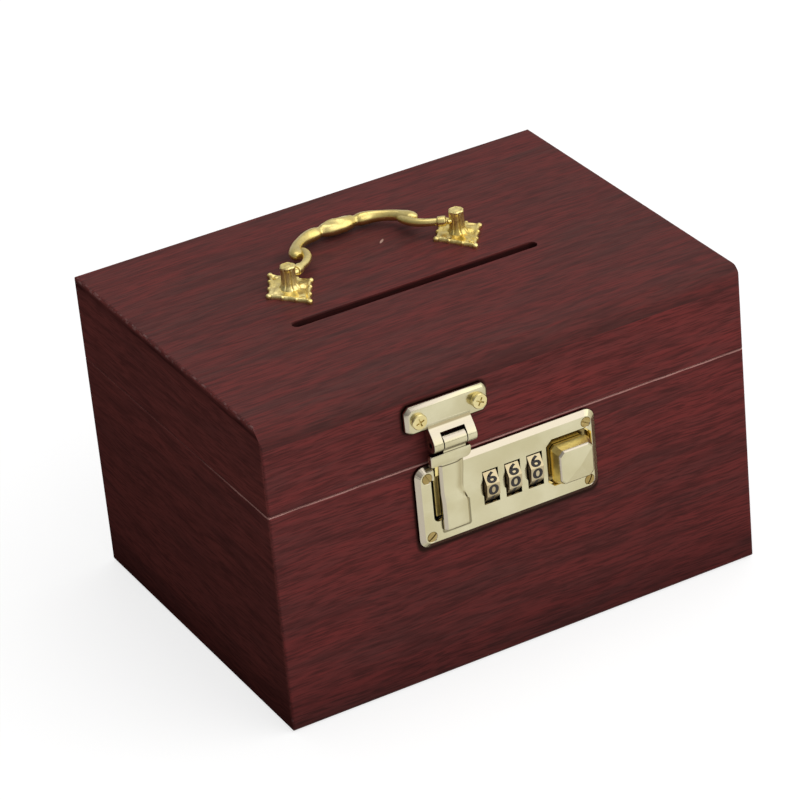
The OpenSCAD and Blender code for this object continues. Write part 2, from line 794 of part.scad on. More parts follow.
module post_washers() {
    color(steel) posts() translate([0, 0, top_z - washer_t]) difference() {
        cylinder(r = 4.5, h = washer_t);
        translate([0, 0, -past]) cylinder(r = stud_r + snug, h = washer_t + 2 * past);
    }
}

module post_nuts() {
    color(steel) posts() translate([0, 0, top_z - washer_t - nut_t]) difference() {
        cylinder(r = nut_flats / 2 / cos(30), h = nut_t, $fn = 6);
        translate([0, 0, -past]) cylinder(r = stud_r + snug, h = nut_t + 2 * past);
    }
}

// The bail's middle line from post to post, and a smooth curve through it
bail_line = [
    for (p = bail_half) [-p[0], p[1], p[2]],
    for (i = [len(bail_half) - 2:-1:0]) bail_half[i],
];

function smooth(p0, p1, p2, p3, t) = 0.5 * (2 * p1 + (p2 - p0) * t
    + (2 * p0 - 5 * p1 + 4 * p2 - p3) * t * t + (3 * p1 - p0 - 3 * p2 + p3) * t * t * t);

bail_curve = [
    for (i = [0:len(bail_line) - 2], k = [0:bail_steps - 1]) smooth(
        bail_line[max(i - 1, 0)], bail_line[i], bail_line[i + 1],
        bail_line[min(i + 2, len(bail_line) - 1)], k / bail_steps),
    bail_line[len(bail_line) - 1],
];

function side_point(i, s) =
    let (a = bail_curve[max(i - 1, 0)],
        b = bail_curve[min(i + 1, len(bail_curve) - 1)],
        run = [b[0] - a[0], b[1] - a[1]],
        across = [-run[1], run[0]] / norm(run))
    [bail_curve[i][0], bail_curve[i][1]] + s * bail_curve[i][2] / 2 * across;

module handle_bail() {
    outline = [
        for (i = [0:len(bail_curve) - 1]) side_point(i, 1),
        for (i = [len(bail_curve) - 1:-1:0]) side_point(i, -1),
    ];
    pin_end = post_pitch / 2 + 1.8;
    pin_start = bail_half[0][0] - 1.5;
    color(gold_brass) translate([handle_x, handle_y, pivot_z]) rotate([90 - bail_lean, 0, 0]) {
        translate([0, 0, -bail_t / 2]) linear_extrude(bail_t) intersection() {
            polygon(outline);
            translate([-bail_half[0][0], -pivot_r]) square([2 * bail_half[0][0], 60]);
        }
        for (s = [0, 1]) mirror([s, 0, 0]) rod_x(pin_start, pin_end, 0, 0, pivot_r);
    }
}

// ---------- nodes ----------

case_wall(0);  // case_front
case_wall(1);  // case_right
case_wall(2);  // case_back
case_wall(3);  // case_left
case_bottom();
lid_wall(0);  // lid_front
lid_wall(1);  // lid_right
lid_wall(2);  // lid_back
lid_wall(3);  // lid_left
lid_top();
translate([-hinge_x, 0, 0]) hinge_leaf(-1);  // left_hinge_case_leaf
translate([hinge_x, 0, 0]) hinge_leaf(-1);  // right_hinge_case_leaf
translate([-hinge_x, 0, 0]) hinge_leaf(1);  // left_hinge_lid_leaf
translate([hinge_x, 0, 0]) hinge_leaf(1);  // right_hinge_lid_leaf
translate([-hinge_x, 0, 0]) hinge_pin();  // left_hinge_pin
translate([hinge_x, 0, 0]) hinge_pin();  // right_hinge_pin
leaf_screws(-1);  // case_hinge_screws
leaf_screws(1);  // lid_hinge_screws
lock_plate();
lock_housing();
lock_screws();
housing_screws();
wheel_shaft();
detent_spring();
number_wheel(0);  // number_wheel_1
number_wheel(1);  // number_wheel_2
number_wheel(2);  // number_wheel_3
code_sleeve(0);  // code_sleeve_1
code_sleeve(1);  // code_sleeve_2
code_sleeve(2);  // code_sleeve_3
lock_button();
bolt_slide();
button_screw();
hasp_plate();
hasp_arm();
hasp_pin();
hasp_screws();
handle_bail();
rosette(-1);  // left_rosette
rosette(1);  // right_rosette
post(-1);  // left_post
post(1);  // right_post
post_washers();
post_nuts();
rosette_nails();
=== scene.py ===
import math

import bmesh
import bpy
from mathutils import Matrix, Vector


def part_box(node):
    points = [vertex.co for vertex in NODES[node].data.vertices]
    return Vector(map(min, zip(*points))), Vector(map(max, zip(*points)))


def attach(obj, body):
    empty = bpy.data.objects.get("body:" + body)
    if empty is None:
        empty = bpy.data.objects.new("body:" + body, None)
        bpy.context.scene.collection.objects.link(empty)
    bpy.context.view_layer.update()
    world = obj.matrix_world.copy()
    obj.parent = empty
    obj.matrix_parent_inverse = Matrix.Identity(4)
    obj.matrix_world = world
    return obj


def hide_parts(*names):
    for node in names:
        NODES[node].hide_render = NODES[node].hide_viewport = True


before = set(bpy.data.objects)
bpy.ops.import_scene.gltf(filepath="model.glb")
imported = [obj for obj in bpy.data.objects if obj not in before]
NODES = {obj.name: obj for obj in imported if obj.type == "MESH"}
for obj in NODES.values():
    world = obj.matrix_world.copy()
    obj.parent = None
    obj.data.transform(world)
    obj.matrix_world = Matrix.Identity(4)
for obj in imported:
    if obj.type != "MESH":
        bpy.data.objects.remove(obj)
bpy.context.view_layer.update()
MM = 0.001
PER_MM = 1000

# Places worked out from the frame, in metres
BOX_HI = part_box("lid_top")[1]
TOP_Z = BOX_HI.z
FRONT_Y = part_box("case_front")[0].y
SEAM_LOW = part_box("case_front")[1].z
SEAM_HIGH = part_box("lid_front")[0].z

# Sizes and places in millimetres
TOP_EDGE = 1.3  # radius of the lid's end edges
CORNER = 1.2  # radius of the upright corners
PLATE_T = 3.0  # how far the lock plate and the hasp's plate stand out of the wood
HASP_PLATE_H = 11.3
TONGUE_LEFT, TONGUE_WIDE = -33.1, -22.4  # left edge of the hasp's tongue, and right edge of its wide end
COLLAR_SHADOWS = ((89.2, 89.7), (95.1, 95.5))  # heights of the painted shadow lines below and above the hasp's collar
RECESS_SHADE = 1.2  # brass nearer to the wood than this gets painted shade


# ---------------------------------------------------------------- shader helpers


class Shader:
    """A Principled material built from procedural nodes in the row frame."""

    def __init__(self, name, metallic=0.0, specular=0.5):
        self.mat = bpy.data.materials.new(name)
        self.mat.use_nodes = True
        self.tree = self.mat.node_tree
        self.bsdf = self.tree.nodes["Principled BSDF"]
        self.bsdf.inputs["Metallic"].default_value = metallic
        self.bsdf.inputs["Specular IOR Level"].default_value = specular
        self.coord = self.node("ShaderNodeTexCoord").outputs["Object"]

    def node(self, kind, **settings):
        n = self.tree.nodes.new(kind)
        for key, value in settings.items():
            setattr(n, key, value)
        return n

    def plug(self, socket, value):
        if isinstance(value, bpy.types.NodeSocket):
            self.tree.links.new(value, socket)
        elif isinstance(value, tuple) and len(value) == 3 and socket.type == "RGBA":
            socket.default_value = (*value, 1)
        else:
            socket.default_value = value

    def scaled(self, scale, vector=None, offset=(0, 0, 0)):
        n = self.node("ShaderNodeMapping")
        self.plug(n.inputs["Vector"], vector or self.coord)
        n.inputs["Scale"].default_value = scale
        n.inputs["Location"].default_value = offset
        return n.outputs["Vector"]

    def noise(self, scale, detail=4.0, rough=0.55, distortion=0.0, vector=None, offset=(0, 0, 0)):
        """Noise whose cells are 1 / scale metres long on each axis."""
        n = self.node("ShaderNodeTexNoise")
        self.plug(n.inputs["Vector"], self.scaled(scale, vector, offset))
        n.inputs["Scale"].default_value = 1.0
        n.inputs["Detail"].default_value = detail
        n.inputs["Roughness"].default_value = rough
        n.inputs["Distortion"].default_value = distortion
        return n.outputs["Fac"]

    def ramp(self, value, *stops):
        """A curve through (place, level or colour) stops."""
        n = self.node("ShaderNodeValToRGB")
        self.plug(n.inputs["Fac"], value)
        while len(n.color_ramp.elements) < len(stops):
            n.color_ramp.elements.new(0.5)
        for element, (place, colour) in zip(n.color_ramp.elements, stops):
            element.position = place
            element.color = (*colour, 1) if isinstance(colour, tuple) else (colour,) * 3 + (1,)
        return n.outputs["Color"]

    def mix(self, factor, a, b, blend="MIX"):
        n = self.node("ShaderNodeMix", data_type="RGBA", blend_type=blend)
        self.plug(n.inputs[0], factor)
        self.plug(n.inputs[6], a)
        self.plug(n.inputs[7], b)
        return n.outputs[2]

    def math(self, operation, a, b=0.0, c=0.0):
        n = self.node("ShaderNodeMath", operation=operation)
        for socket, value in zip(n.inputs, (a, b, c)):
            self.plug(socket, value)
        return n.outputs[0]

    def product(self, first, *others):
        for other in others:
            first = self.math("MULTIPLY", first, other)
        return first

    def split(self, vector, letter):
        n = self.node("ShaderNodeSeparateXYZ")
        self.plug(n.inputs[0], vector)
        return n.outputs[letter]

    def axis(self, letter):
        return self.split(self.coord, letter)

    def normal(self):
        return self.node("ShaderNodeTexCoord").outputs["Normal"]

    def dot(self, vector, direction):
        n = self.node("ShaderNodeVectorMath", operation="DOT_PRODUCT")
        self.plug(n.inputs[0], vector)
        n.inputs[1].default_value = direction
        return n.outputs["Value"]

    def band(self, value, low, high, soft):
        """1 between low and high, 0 outside, with edges this soft."""
        up = self.node("ShaderNodeMapRange")
        down = self.node("ShaderNodeMapRange")
        for n, a, b in ((up, low - soft, low + soft), (down, high + soft, high - soft)):
            self.plug(n.inputs["Value"], value)
            n.inputs["From Min"].default_value = a
            n.inputs["From Max"].default_value = b
        return self.product(up.outputs[0], down.outputs[0])

    def done(self, colour, roughness, height=None, depth=0.0001, strength=1.0):
        self.plug(self.bsdf.inputs["Base Color"], colour)
        self.plug(self.bsdf.inputs["Roughness"], roughness)
        if height is not None:
            n = self.node("ShaderNodeBump")
            self.plug(n.inputs["Height"], height)
            n.inputs["Distance"].default_value = depth
            n.inputs["Strength"].default_value = strength
            self.tree.links.new(n.outputs["Normal"], self.bsdf.inputs["Normal"])
        return self.mat


def seed_offset(seed):
    return (seed * 3.1, seed * 1.7, seed * 2.3)


def under_top(s):
    """Depth below the lid's top, in millimetres."""
    return s.product(s.math("SUBTRACT", TOP_Z, s.axis("Z")), PER_MM)


def proud_of_front(s):
    """Distance out of the box's front, in millimetres."""
    return s.product(s.math("SUBTRACT", FRONT_Y, s.axis("Y")), PER_MM)


def behind_front(s):
    return s.math("SUBTRACT", s.axis("Y"), FRONT_Y)


def in_rectangle(s, lo, hi, corner, reach):
    """1 in a rounded rectangle on the front, 0 this far outside. Corner and reach are in millimetres."""
    outside = []
    for letter, a, b in (("X", lo.x, hi.x), ("Z", lo.z, hi.z)):
        off = s.math("ABSOLUTE", s.math("SUBTRACT", s.axis(letter), (a + b) / 2))
        over = s.math("MAXIMUM", s.math("SUBTRACT", off, (b - a) / 2 - corner * MM), 0.0)
        outside.append(s.product(over, over))
    gap = s.math("SUBTRACT", s.math("SQRT", s.math("ADD", *outside)), corner * MM)
    return s.ramp(s.math("DIVIDE", gap, reach * MM), (0.1, 1.0), (1.0, 0.0))


def edge_line(s, first, second, radius, width):
    """1 in the middle of a rounded edge, 0 beside it. first and second are distances inside its two faces."""
    inside = s.product(s.math("ADD", first, second), PER_MM)
    off = s.math("SUBTRACT", inside, (2 - math.sqrt(2)) * radius)
    return s.ramp(s.math("DIVIDE", off, width), (0.25, 1.0), (1.0, 0.0))


# ---------------------------------------------------------------- layers that paint over the wood's tone


def plate_outlines():
    """Lower left and upper right corner of the lock plate, lowered a little so that its painted shadow falls
    below it, and of the hasp's plate.
    """
    lock_lo, lock_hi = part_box("lock_plate")
    hasp_lo, hasp_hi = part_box("hasp_plate")
    drop = Vector((0, 0, 1.7 * MM))
    hasp_foot = Vector((hasp_lo.x, 0, hasp_hi.z - HASP_PLATE_H * MM))
    return [(lock_lo - drop, lock_hi - drop), (hasp_foot, hasp_hi)]


def plate_dirt(s, tone):
    """Painted shadow: dark lines round the two plates."""
    for lo, hi in plate_outlines():
        tone = s.mix(s.product(in_rectangle(s, lo, hi, 2.6, 1.2), 0.88), tone, (0.018, 0.008, 0.005))
    return tone


def edge_joint(s, tone):
    """Painted shade under the lid's end edges: a broken dark line a little under them, and a slightly darker
    strip round it.
    """
    under = under_top(s)
    ragged = s.math("MULTIPLY_ADD", s.noise((60, 60, 60), 3.0, 0.6), 1.6, under)
    broken = s.ramp(s.noise((25, 30, 25), 3.0, 0.6, offset=(3, 1, 2)), (0.36, 0.15), (0.6, 0.8))
    tone = s.mix(s.product(s.band(ragged, 2.6, 4.0, 0.5), broken), tone, (0.035, 0.010, 0.010))
    strip = s.ramp(s.math("DIVIDE", under, 8), (0.3, 1.0), (0.6, 0.0))
    return s.mix(s.product(strip, 0.3), tone, DEEP)


def seam_line(strength, reach=None):
    """The pale line where the lid meets the case: worn wood, with a painted highlight on the meeting edges.
    With reach it fades so far behind the front.
    """

    def layer(s, tone):
        ragged = s.noise((90, 90, 90), 3.0, 0.6)
        shifted = s.math("MULTIPLY_ADD", ragged, 0.0005, s.math("SUBTRACT", s.axis("Z"), 0.00025))
        line = s.product(s.band(shifted, SEAM_LOW - 0.00022, SEAM_HIGH + 0.00022, 0.0001), strength)
        if reach:
            line = s.product(line, s.ramp(s.math("DIVIDE", behind_front(s), reach), (0.4, 1.0), (1.0, 0.12)))
        return s.mix(line, tone, (0.60, 0.33, 0.29))

    return layer


def chipped_edges(seed):
    """Small pale chips along the lid's end edges, and a longer one at the foot of the front left corner."""

    def layer(s, tone):
        ends = s.math("SUBTRACT", BOX_HI.x, s.math("ABSOLUTE", s.axis("X")))
        top = s.math("SUBTRACT", TOP_Z, s.axis("Z"))
        chips = s.ramp(s.noise((240, 240, 240), 4.0, 0.65, offset=seed_offset(seed)), (0.5, 0.0), (0.62, 1.0))
        rim = s.product(edge_line(s, ends, top, TOP_EDGE, 0.45), chips, 0.4)
        tone = s.mix(rim, tone, (0.30, 0.18, 0.17))
        left = s.math("ADD", BOX_HI.x, s.axis("X"))
        foot = s.band(s.product(s.axis("Z"), PER_MM), 5.0, 15.0, 1.0)
        ragged = s.ramp(s.noise((300, 300, 210), 3.0, 0.6), (0.46, 0.0), (0.54, 1.0))
        chip = s.product(edge_line(s, left, behind_front(s), CORNER, 0.13), foot, ragged, 0.6)
        return s.mix(chip, tone, (0.24, 0.16, 0.17))

    return layer


def dent(x, y, half_length, half_width):
    """A pale dent in the lid's top, running at 45 degrees. Sizes in millimetres."""

    def layer(s, tone):
        across = []
        for direction, half in (((1, 1, 0), half_length), ((1, -1, 0), half_width)):
            along = s.dot(s.coord, tuple(c / math.sqrt(2) / (half * MM) for c in direction))
            middle = (x * direction[0] + y * direction[1]) / math.sqrt(2) / half
            off = s.math("SUBTRACT", along, middle)
            across.append(s.product(off, off))
        ragged = s.math("MULTIPLY_ADD", s.noise((900, 900, 900), 2.0), 1.2, -0.6)
        shape = s.ramp(s.math("ADD", s.math("ADD", *across), ragged), (0.3, 1.0), (1.0, 0.0))
        skin = s.ramp(under_top(s), (0.5, 1.0), (0.9, 0.0))
        return s.mix(s.product(shape, skin, 0.75), tone, (0.50, 0.32, 0.25))

    return layer


def dark_cuts(s, tone):
    """Shade inside the coin slot and the holes, well away from the lid board's front and back."""
    inside = s.product(s.math("SUBTRACT", BOX_HI.y, s.math("ABSOLUTE", s.axis("Y"))), 20)
    deep = s.ramp(under_top(s), (0.3, 0.0), (0.9, 1.0))
    shade = s.product(s.ramp(inside, (0.5, 0.0), (0.6, 1.0)), deep, 0.7)
    return s.mix(shade, tone, (0.012, 0.004, 0.004))


# ---------------------------------------------------------------- layers that paint over the plates' brass


def facing_tones(s, tone):
    """Painted shade by facing: brass turns olive where it faces right, grey where it faces left or up, dark
    where it faces down.
    """
    right = s.dot(s.normal(), (1.5, 0, -0.9))
    tone = s.mix(s.ramp(right, (0.0, 0.0), (0.75, 0.75)), tone, (0.33, 0.27, 0.12))
    left = s.ramp(s.product(right, -1.0), (0.3, 0.0), (0.6, 1.0))
    tone = s.mix(left, tone, (0.46, 0.405, 0.315))
    below = s.ramp(s.product(s.split(s.normal(), "Z"), -1.0), (0.35, 0.0), (0.65, 1.0))
    return s.mix(s.product(below, 0.85), tone, (0.07, 0.055, 0.022))


def rub_box():
    """The part of the lock plate that the tongue's wide end rests on, reaching a little right of and below it
    for its painted shadow.
    """
    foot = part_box("hasp_arm")[0].z / MM
    return Vector((TONGUE_LEFT, 0, foot - 1.3)) * MM, Vector((TONGUE_WIDE + 1.0, 0, foot + 9.5)) * MM


def contact_lines(s, tone):
    """Painted shadows: dark lines just above the plates' faces, along the collar and round the tongue's wide
    end.
    """
    proud = proud_of_front(s)
    crease = s.band(proud, PLATE_T + 0.2, PLATE_T + 0.75, 0.12)
    tone = s.mix(s.product(crease, 0.75), tone, (0.16, 0.12, 0.05))
    for low, high in COLLAR_SHADOWS:
        line = s.band(s.product(s.axis("Z"), PER_MM), low, high, 0.1)
        tone = s.mix(s.product(line, s.band(proud, 3.8, 9, 0.1), 0.8), tone, (0.07, 0.05, 0.02))
    lo, hi = rub_box()
    inset = Vector((0.7, 0, 0.7)) * MM
    inner = in_rectangle(s, lo + inset, hi - inset, 0.5, 0.4)
    tongue_shadow = s.math("SUBTRACT", in_rectangle(s, lo, hi, 0.8, 0.4), inner)
    on_face = s.band(proud, PLATE_T - 0.1, PLATE_T + 0.1, 0.05)
    return s.mix(s.product(tongue_shadow, on_face, 0.75), tone, (0.10, 0.08, 0.035))


def recessed_tones(s, tone):
    """Gold inside the button's pocket, and painted shade where the brass lies close to the wood."""
    proud = proud_of_front(s)
    lo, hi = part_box("lock_button")
    wide = s.band(s.axis("X"), lo.x - 2.6 * MM, hi.x + 2.6 * MM, 0.0001)
    high = s.band(s.axis("Z"), lo.z - 2.4 * MM, hi.z + 2.6 * MM, 0.0001)
    sunk = s.ramp(s.math("DIVIDE", proud, 4), (0.72, 1.0), (0.74, 0.0))
    pocket = s.product(wide, high, sunk)
    tone = s.mix(pocket, tone, (0.72, 0.56, 0.20))
    dark = s.ramp(s.math("DIVIDE", proud, RECESS_SHADE), (0.8, 1.0), (1.0, 0.0))
    spared = s.math("SUBTRACT", 1.0, s.product(pocket, 0.3))
    return s.mix(s.product(dark, spared), tone, (0.045, 0.025, 0.016))


# ---------------------------------------------------------------- materials


def wood_grain(s, along, seed):
    """Noise drawn out along one axis, from wide patches to fine fibres."""
    off = seed_offset(seed)
    shift = s.node("ShaderNodeVectorMath", operation="MULTIPLY_ADD")
    s.plug(shift.inputs[0], s.noise((18, 18, 18), 2.0, 0.5, offset=off))
    shift.inputs[1].default_value = (0.003, 0.004, 0.0045)
    s.plug(shift.inputs[2], s.coord)

    def grain(cells, slim, detail, rough, twist, turn):
        across = cells * slim
        scale = (cells, across, across) if along == "X" else (across, cells, across)
        return s.noise(scale, detail, rough, twist, shift.outputs[0], tuple(turn * o for o in off))

    patch = grain(15, 6, 3.0, 0.6, 0.4, 1.0)
    blotch = grain(36, 10, 4.0, 0.6, 0.3, 1.3)
    streak = grain(58, 17, 3.0, 0.6, 0.1, 1.7)
    fibre = grain(115, 15, 2.0, 0.5, 0.0, 2.1)
    return patch, blotch, streak, fibre


def stained_wood(name, along, tones, seed, foot=0.5, sheen=0.05, layers=()):
    """Wood under a thin stain, with painted shade darkening it towards the foot. tones are red, brown and
    deep.
    """
    s = Shader(name, specular=sheen)
    red, brown, deep = tones
    patch, blotch, streak, fibre = wood_grain(s, along, seed)
    tone = s.mix(s.ramp(patch, (0.36, 0.0), (0.62, 1.0)), brown, red)
    tone = s.mix(s.product(s.ramp(streak, (0.5, 0.0), (0.66, 1.0)), 0.8), tone, red)
    tone = s.mix(s.product(s.ramp(blotch, (0.34, 1.0), (0.54, 0.0)), 0.6), tone, deep)
    tone = s.mix(s.product(s.ramp(fibre, (0.35, 1.0), (0.53, 0.0)), 0.65), tone, deep)
    # Painted shade: the tone darkens towards the base, down to foot there
    height = s.math("DIVIDE", s.axis("Z"), TOP_Z)
    foot_shade = s.ramp(height, (0.0, foot), (0.16, 0.5 + foot / 2), (0.45, 0.72 + foot * 0.28), (0.8, 1.0))
    tone = s.mix(1.0, tone, foot_shade, "MULTIPLY")
    for layer in layers:
        tone = layer(s, tone)
    gloss = s.math("MULTIPLY_ADD", streak, 0.22, 0.32)
    relief = s.math("MULTIPLY_ADD", fibre, 0.5, streak)
    return s.done(tone, gloss, relief, 0.00005, 0.5)


def bare_wood(name):
    s = Shader(name, specular=0.3)
    grain = s.noise((18, 420, 420), 5.0, 0.6, 0.3)
    tone = s.ramp(grain, (0.3, (0.30, 0.17, 0.11)), (0.7, (0.52, 0.34, 0.23)))
    return s.done(tone, s.math("MULTIPLY_ADD", grain, 0.2, 0.55), grain, 0.00008, 0.6)


def brass(name, pale, deep, rough, wave, seed, worn=0.25, cast=0.0, layers=()):
    """Plated brass: slow colour drift and fine brushing. cast roughens it and leaves dirt in its pits."""
    s = Shader(name, metallic=1.0)
    off = (seed, seed * 0.7, seed * 1.3)
    drift = s.noise((70, 70, 70), 3.0, 0.5, 0.3, offset=off)
    fine = s.noise((2400, 2400, 2400), 2.0, 0.5, offset=off)
    brush = s.noise((160, 2600, 2600), 3.0, 0.55, offset=off)
    tone = s.ramp(drift, (0.3, deep), (0.68, pale))
    tone = s.mix(s.product(s.ramp(fine, (0.55, 0.0), (0.8, 1.0)), worn), tone, deep)
    sheen = s.math("MULTIPLY_ADD", brush, 0.12, s.math("MULTIPLY_ADD", drift, 0.1, rough - 0.1))
    relief = s.math("MULTIPLY_ADD", drift, wave, s.product(brush, 0.06))
    for layer in layers:
        tone = layer(s, tone)
    if cast:
        pits = s.noise((640, 640, 640), 3.0, 0.6, 0.4, offset=off)
        dirt = s.product(s.ramp(pits, (0.36, 1.0), (0.5, 0.0)), cast)
        tone = s.mix(dirt, tone, (0.30, 0.17, 0.03))
        relief = s.math("MULTIPLY_ADD", pits, cast, relief)
    return s.done(tone, sheen, relief, 0.00025, 0.5)


def plain_steel(name):
    s = Shader(name, metallic=1.0)
    drift = s.noise((120, 120, 120), 4.0, 0.6)
    brush = s.noise((200, 2400, 2400), 3.0, 0.5)
    tone = s.ramp(drift, (0.3, (0.36, 0.36, 0.37)), (0.7, (0.56, 0.56, 0.57)))
    return s.done(tone, s.math("MULTIPLY_ADD", brush, 0.2, 0.22), brush, 0.00004, 0.4)


def tarnish(name):
    s = Shader(name, metallic=0.85)
    patch = s.noise((500, 500, 500), 4.0, 0.6)
    tone = s.ramp(patch, (0.35, (0.045, 0.028, 0.016)), (0.65, (0.17, 0.11, 0.055)))
    return s.done(tone, s.math("MULTIPLY_ADD", patch, 0.2, 0.3), patch, 0.00006, 0.5)


def ink(name):
    s = Shader(name, specular=0.3)
    patch = s.noise((1500, 1500, 1500), 3.0)
    tone = s.ramp(patch, (0.35, (0.012, 0.009, 0.008)), (0.7, (0.035, 0.026, 0.022)))
    return s.done(tone, s.math("MULTIPLY_ADD", patch, 0.2, 0.4), patch, 0.00002, 0.5)


RED, BROWN, DEEP = (0.192, 0.034, 0.032), (0.128, 0.034, 0.032), (0.058, 0.017, 0.016)
FRONT_TONES = (RED, BROWN, DEEP)
# The same stained wood toned for the light on each face: darker on the top as painted shade, lighter on the
# sides as painted light
TOP_TONES = ((0.135, 0.029, 0.027), (0.092, 0.032, 0.029), (0.052, 0.020, 0.019))
SIDE_TONES = ((0.205, 0.052, 0.046), (0.160, 0.046, 0.042), (0.092, 0.028, 0.026))
MATS = {
    "front": stained_wood("wood_front", "X", FRONT_TONES, 1.0, foot=0.42, sheen=0.03, layers=(
        plate_dirt, seam_line(0.75), chipped_edges(1.0))),
    "top": stained_wood("wood_top", "X", TOP_TONES, 4.0, sheen=0.03, layers=(
        chipped_edges(4.0), dent(5.9, 26.0, 2.1, 0.6), dark_cuts)),
    "side": stained_wood("wood_side", "Y", SIDE_TONES, 7.0, foot=0.3, sheen=0.0, layers=(
        edge_joint, seam_line(0.75, 0.055), chipped_edges(7.0))),
    "back": stained_wood("wood_back", "X", FRONT_TONES, 11.0, layers=(
        seam_line(0.6), chipped_edges(11.0))),
    "bare": bare_wood("wood_bare"),
    "plate": brass("plate_brass", (0.61, 0.565, 0.375), (0.52, 0.47, 0.285), 0.2, 0.15, 1.0, layers=(
        facing_tones, contact_lines, recessed_tones)),
    "gold": brass("gold_brass", (0.80, 0.66, 0.27), (0.70, 0.54, 0.17), 0.32, 0.3, 2.0, cast=0.2),
    "cast": brass("cast_brass", (0.93, 0.78, 0.34), (0.78, 0.60, 0.18), 0.34, 0.3, 2.5, cast=0.4),
    "warm": brass("warm_brass", (0.58, 0.46, 0.18), (0.42, 0.31, 0.10), 0.28, 0.2, 3.0, cast=0.3),
    "aged": brass("aged_brass", (0.44, 0.34, 0.14), (0.28, 0.20, 0.07), 0.32, 0.2, 3.5, cast=0.5),
    "wheel": brass("wheel_brass", (0.51, 0.43, 0.27), (0.38, 0.30, 0.16), 0.34, 0.2, 5.0, 0.4),
    "screw": brass("screw_brass", (0.80, 0.72, 0.42), (0.62, 0.51, 0.22), 0.26, 0.2, 6.0),
    "dark": tarnish("dark_brass"),
    "ink": ink("digit_ink"),
    "steel": plain_steel("plain_steel"),
}


# ---------------------------------------------------------------- mesh helpers, in millimetres


# Faces of a block whose eight corners are listed with the third coordinate changing fastest
BLOCK = [(0, 1, 3, 2), (4, 6, 7, 5), (0, 4, 5, 1), (2, 3, 7, 6), (0, 2, 6, 4), (1, 5, 7, 3)]


def mesh_of(name, verts, faces):
    mesh = bpy.data.meshes.new(name)
    mesh.from_pydata([tuple(c * MM for c in v) for v in verts], [], faces)
    return mesh


def face_outward(mesh):
    b = bmesh.new()
    b.from_mesh(mesh)
    bmesh.ops.recalc_face_normals(b, faces=b.faces)
    b.to_mesh(mesh)
    b.free()


def add_object(name, data):
    o = bpy.data.objects.new(name, data)
    bpy.context.scene.collection.objects.link(o)
    return o


def evaluated_mesh(o):
    bpy.context.view_layer.update()
    return bpy.data.meshes.new_from_object(o.evaluated_get(bpy.context.evaluated_depsgraph_get()))


def build(name, verts, faces, marks, material, body, replaces=(), smooth=38, bevel=0.0, slots=()):
    """A piece from vertices in millimetres. slots are more materials, and marks says which face has which."""
    mesh = mesh_of(name, verts, faces)
    mesh.validate()
    for m in (material, *slots):
        mesh.materials.append(MATS[m])
    for face, mark in zip(mesh.polygons, marks):
        face.material_index = mark
    face_outward(mesh)
    o = add_object(name, mesh)
    soften(o, smooth, bevel)
    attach(o, body)
    if replaces:
        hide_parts(*replaces)
    return o


def round_edges(o, width):
    m = o.modifiers.new("edge", "BEVEL")
    m.width = width * MM
    m.segments = 2
    m.limit_method = "ANGLE"
    m.angle_limit = math.radians(28)


def soften(o, smooth, bevel=0.0):
    """Bevels the sharp edges, in millimetres, and shades smooth what bends less than an angle in degrees."""
    if bevel:
        round_edges(o, bevel)
    o.data.shade_smooth()
    if smooth:
        o.data.set_sharp_from_angle(angle=math.radians(smooth))


def full_turn(n):
    return [2 * math.pi * i / n for i in range(n)]


class Solids:
    """Closed solids gathered into one mesh."""

    def __init__(self):
        self.verts, self.faces, self.marks = [], [], []

    def loft(self, rings, caps=True, mark=0):
        """Skins closed rings of equal length."""
        base, n = len(self.verts), len(rings[0])
        for ring in rings:
            self.verts += [tuple(p) for p in ring]
        for k in range(len(rings) - 1):
            for i in range(n):
                a, b = base + k * n + i, base + k * n + (i + 1) % n
                self.add([a, b, b + n, a + n], mark)
        if caps:
            self.add([base + i for i in range(n)][::-1], mark)
            self.add([base + (len(rings) - 1) * n + i for i in range(n)], mark)
        return self

    def add(self, face, mark=0):
        self.faces.append(face)
        self.marks.append(mark)

    def prism(self, outline, low, high, place, mark=0):
        """Extrudes an outline of (a, b) pairs, place(a, b, h) giving its points."""
        return self.loft([[place(a, b, h) for a, b in outline] for h in (low, high)], mark=mark)

    def lathe(self, profile, place, n=32, mark=0):
        """Turns a profile of (radius, height) about the middle of place(a, b, h)."""
        rings = [[place(r * math.cos(t), r * math.sin(t), h) for t in full_turn(n)] for r, h in profile]
        return self.loft(rings, mark=mark)

    def make(self, name, material, body, replaces=(), **k):
        return build(name, self.verts, self.faces, self.marks, material, body, replaces, **k)


def cut(o, verts, faces, operation="DIFFERENCE"):
    """Takes a closed cutter, given in millimetres, out of a piece, or keeps only what lies in it."""
    mesh = mesh_of("cutter", verts, faces)
    face_outward(mesh)
    cutter = add_object("cutter", mesh)
    m = o.modifiers.new("cut", "BOOLEAN")
    m.object = cutter
    m.solver = "EXACT"
    m.operation = operation
    done = evaluated_mesh(o)
    o.modifiers.clear()
    o.data = done
    bpy.data.objects.remove(cutter)


def box_mm(node):
    return [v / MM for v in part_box(node)]


def mid(node):
    lo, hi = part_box(node)
    return (lo + hi) / 2 / MM


FRONT = FRONT_Y / MM
LID_TOP = TOP_Z / MM


def on_front(x, z, t):
    """A point t in front of the box's front face."""
    return (x, FRONT - t, z)


def cut_rect(w, h, c, x, y):
    """A rectangle about (x, y) with its corners cut off."""
    return [
        (x - w / 2 + c, y - h / 2), (x + w / 2 - c, y - h / 2),
        (x + w / 2, y - h / 2 + c), (x + w / 2, y + h / 2 - c),
        (x + w / 2 - c, y + h / 2), (x - w / 2 + c, y + h / 2),
        (x - w / 2, y + h / 2 - c), (x - w / 2, y - h / 2 + c),
    ]


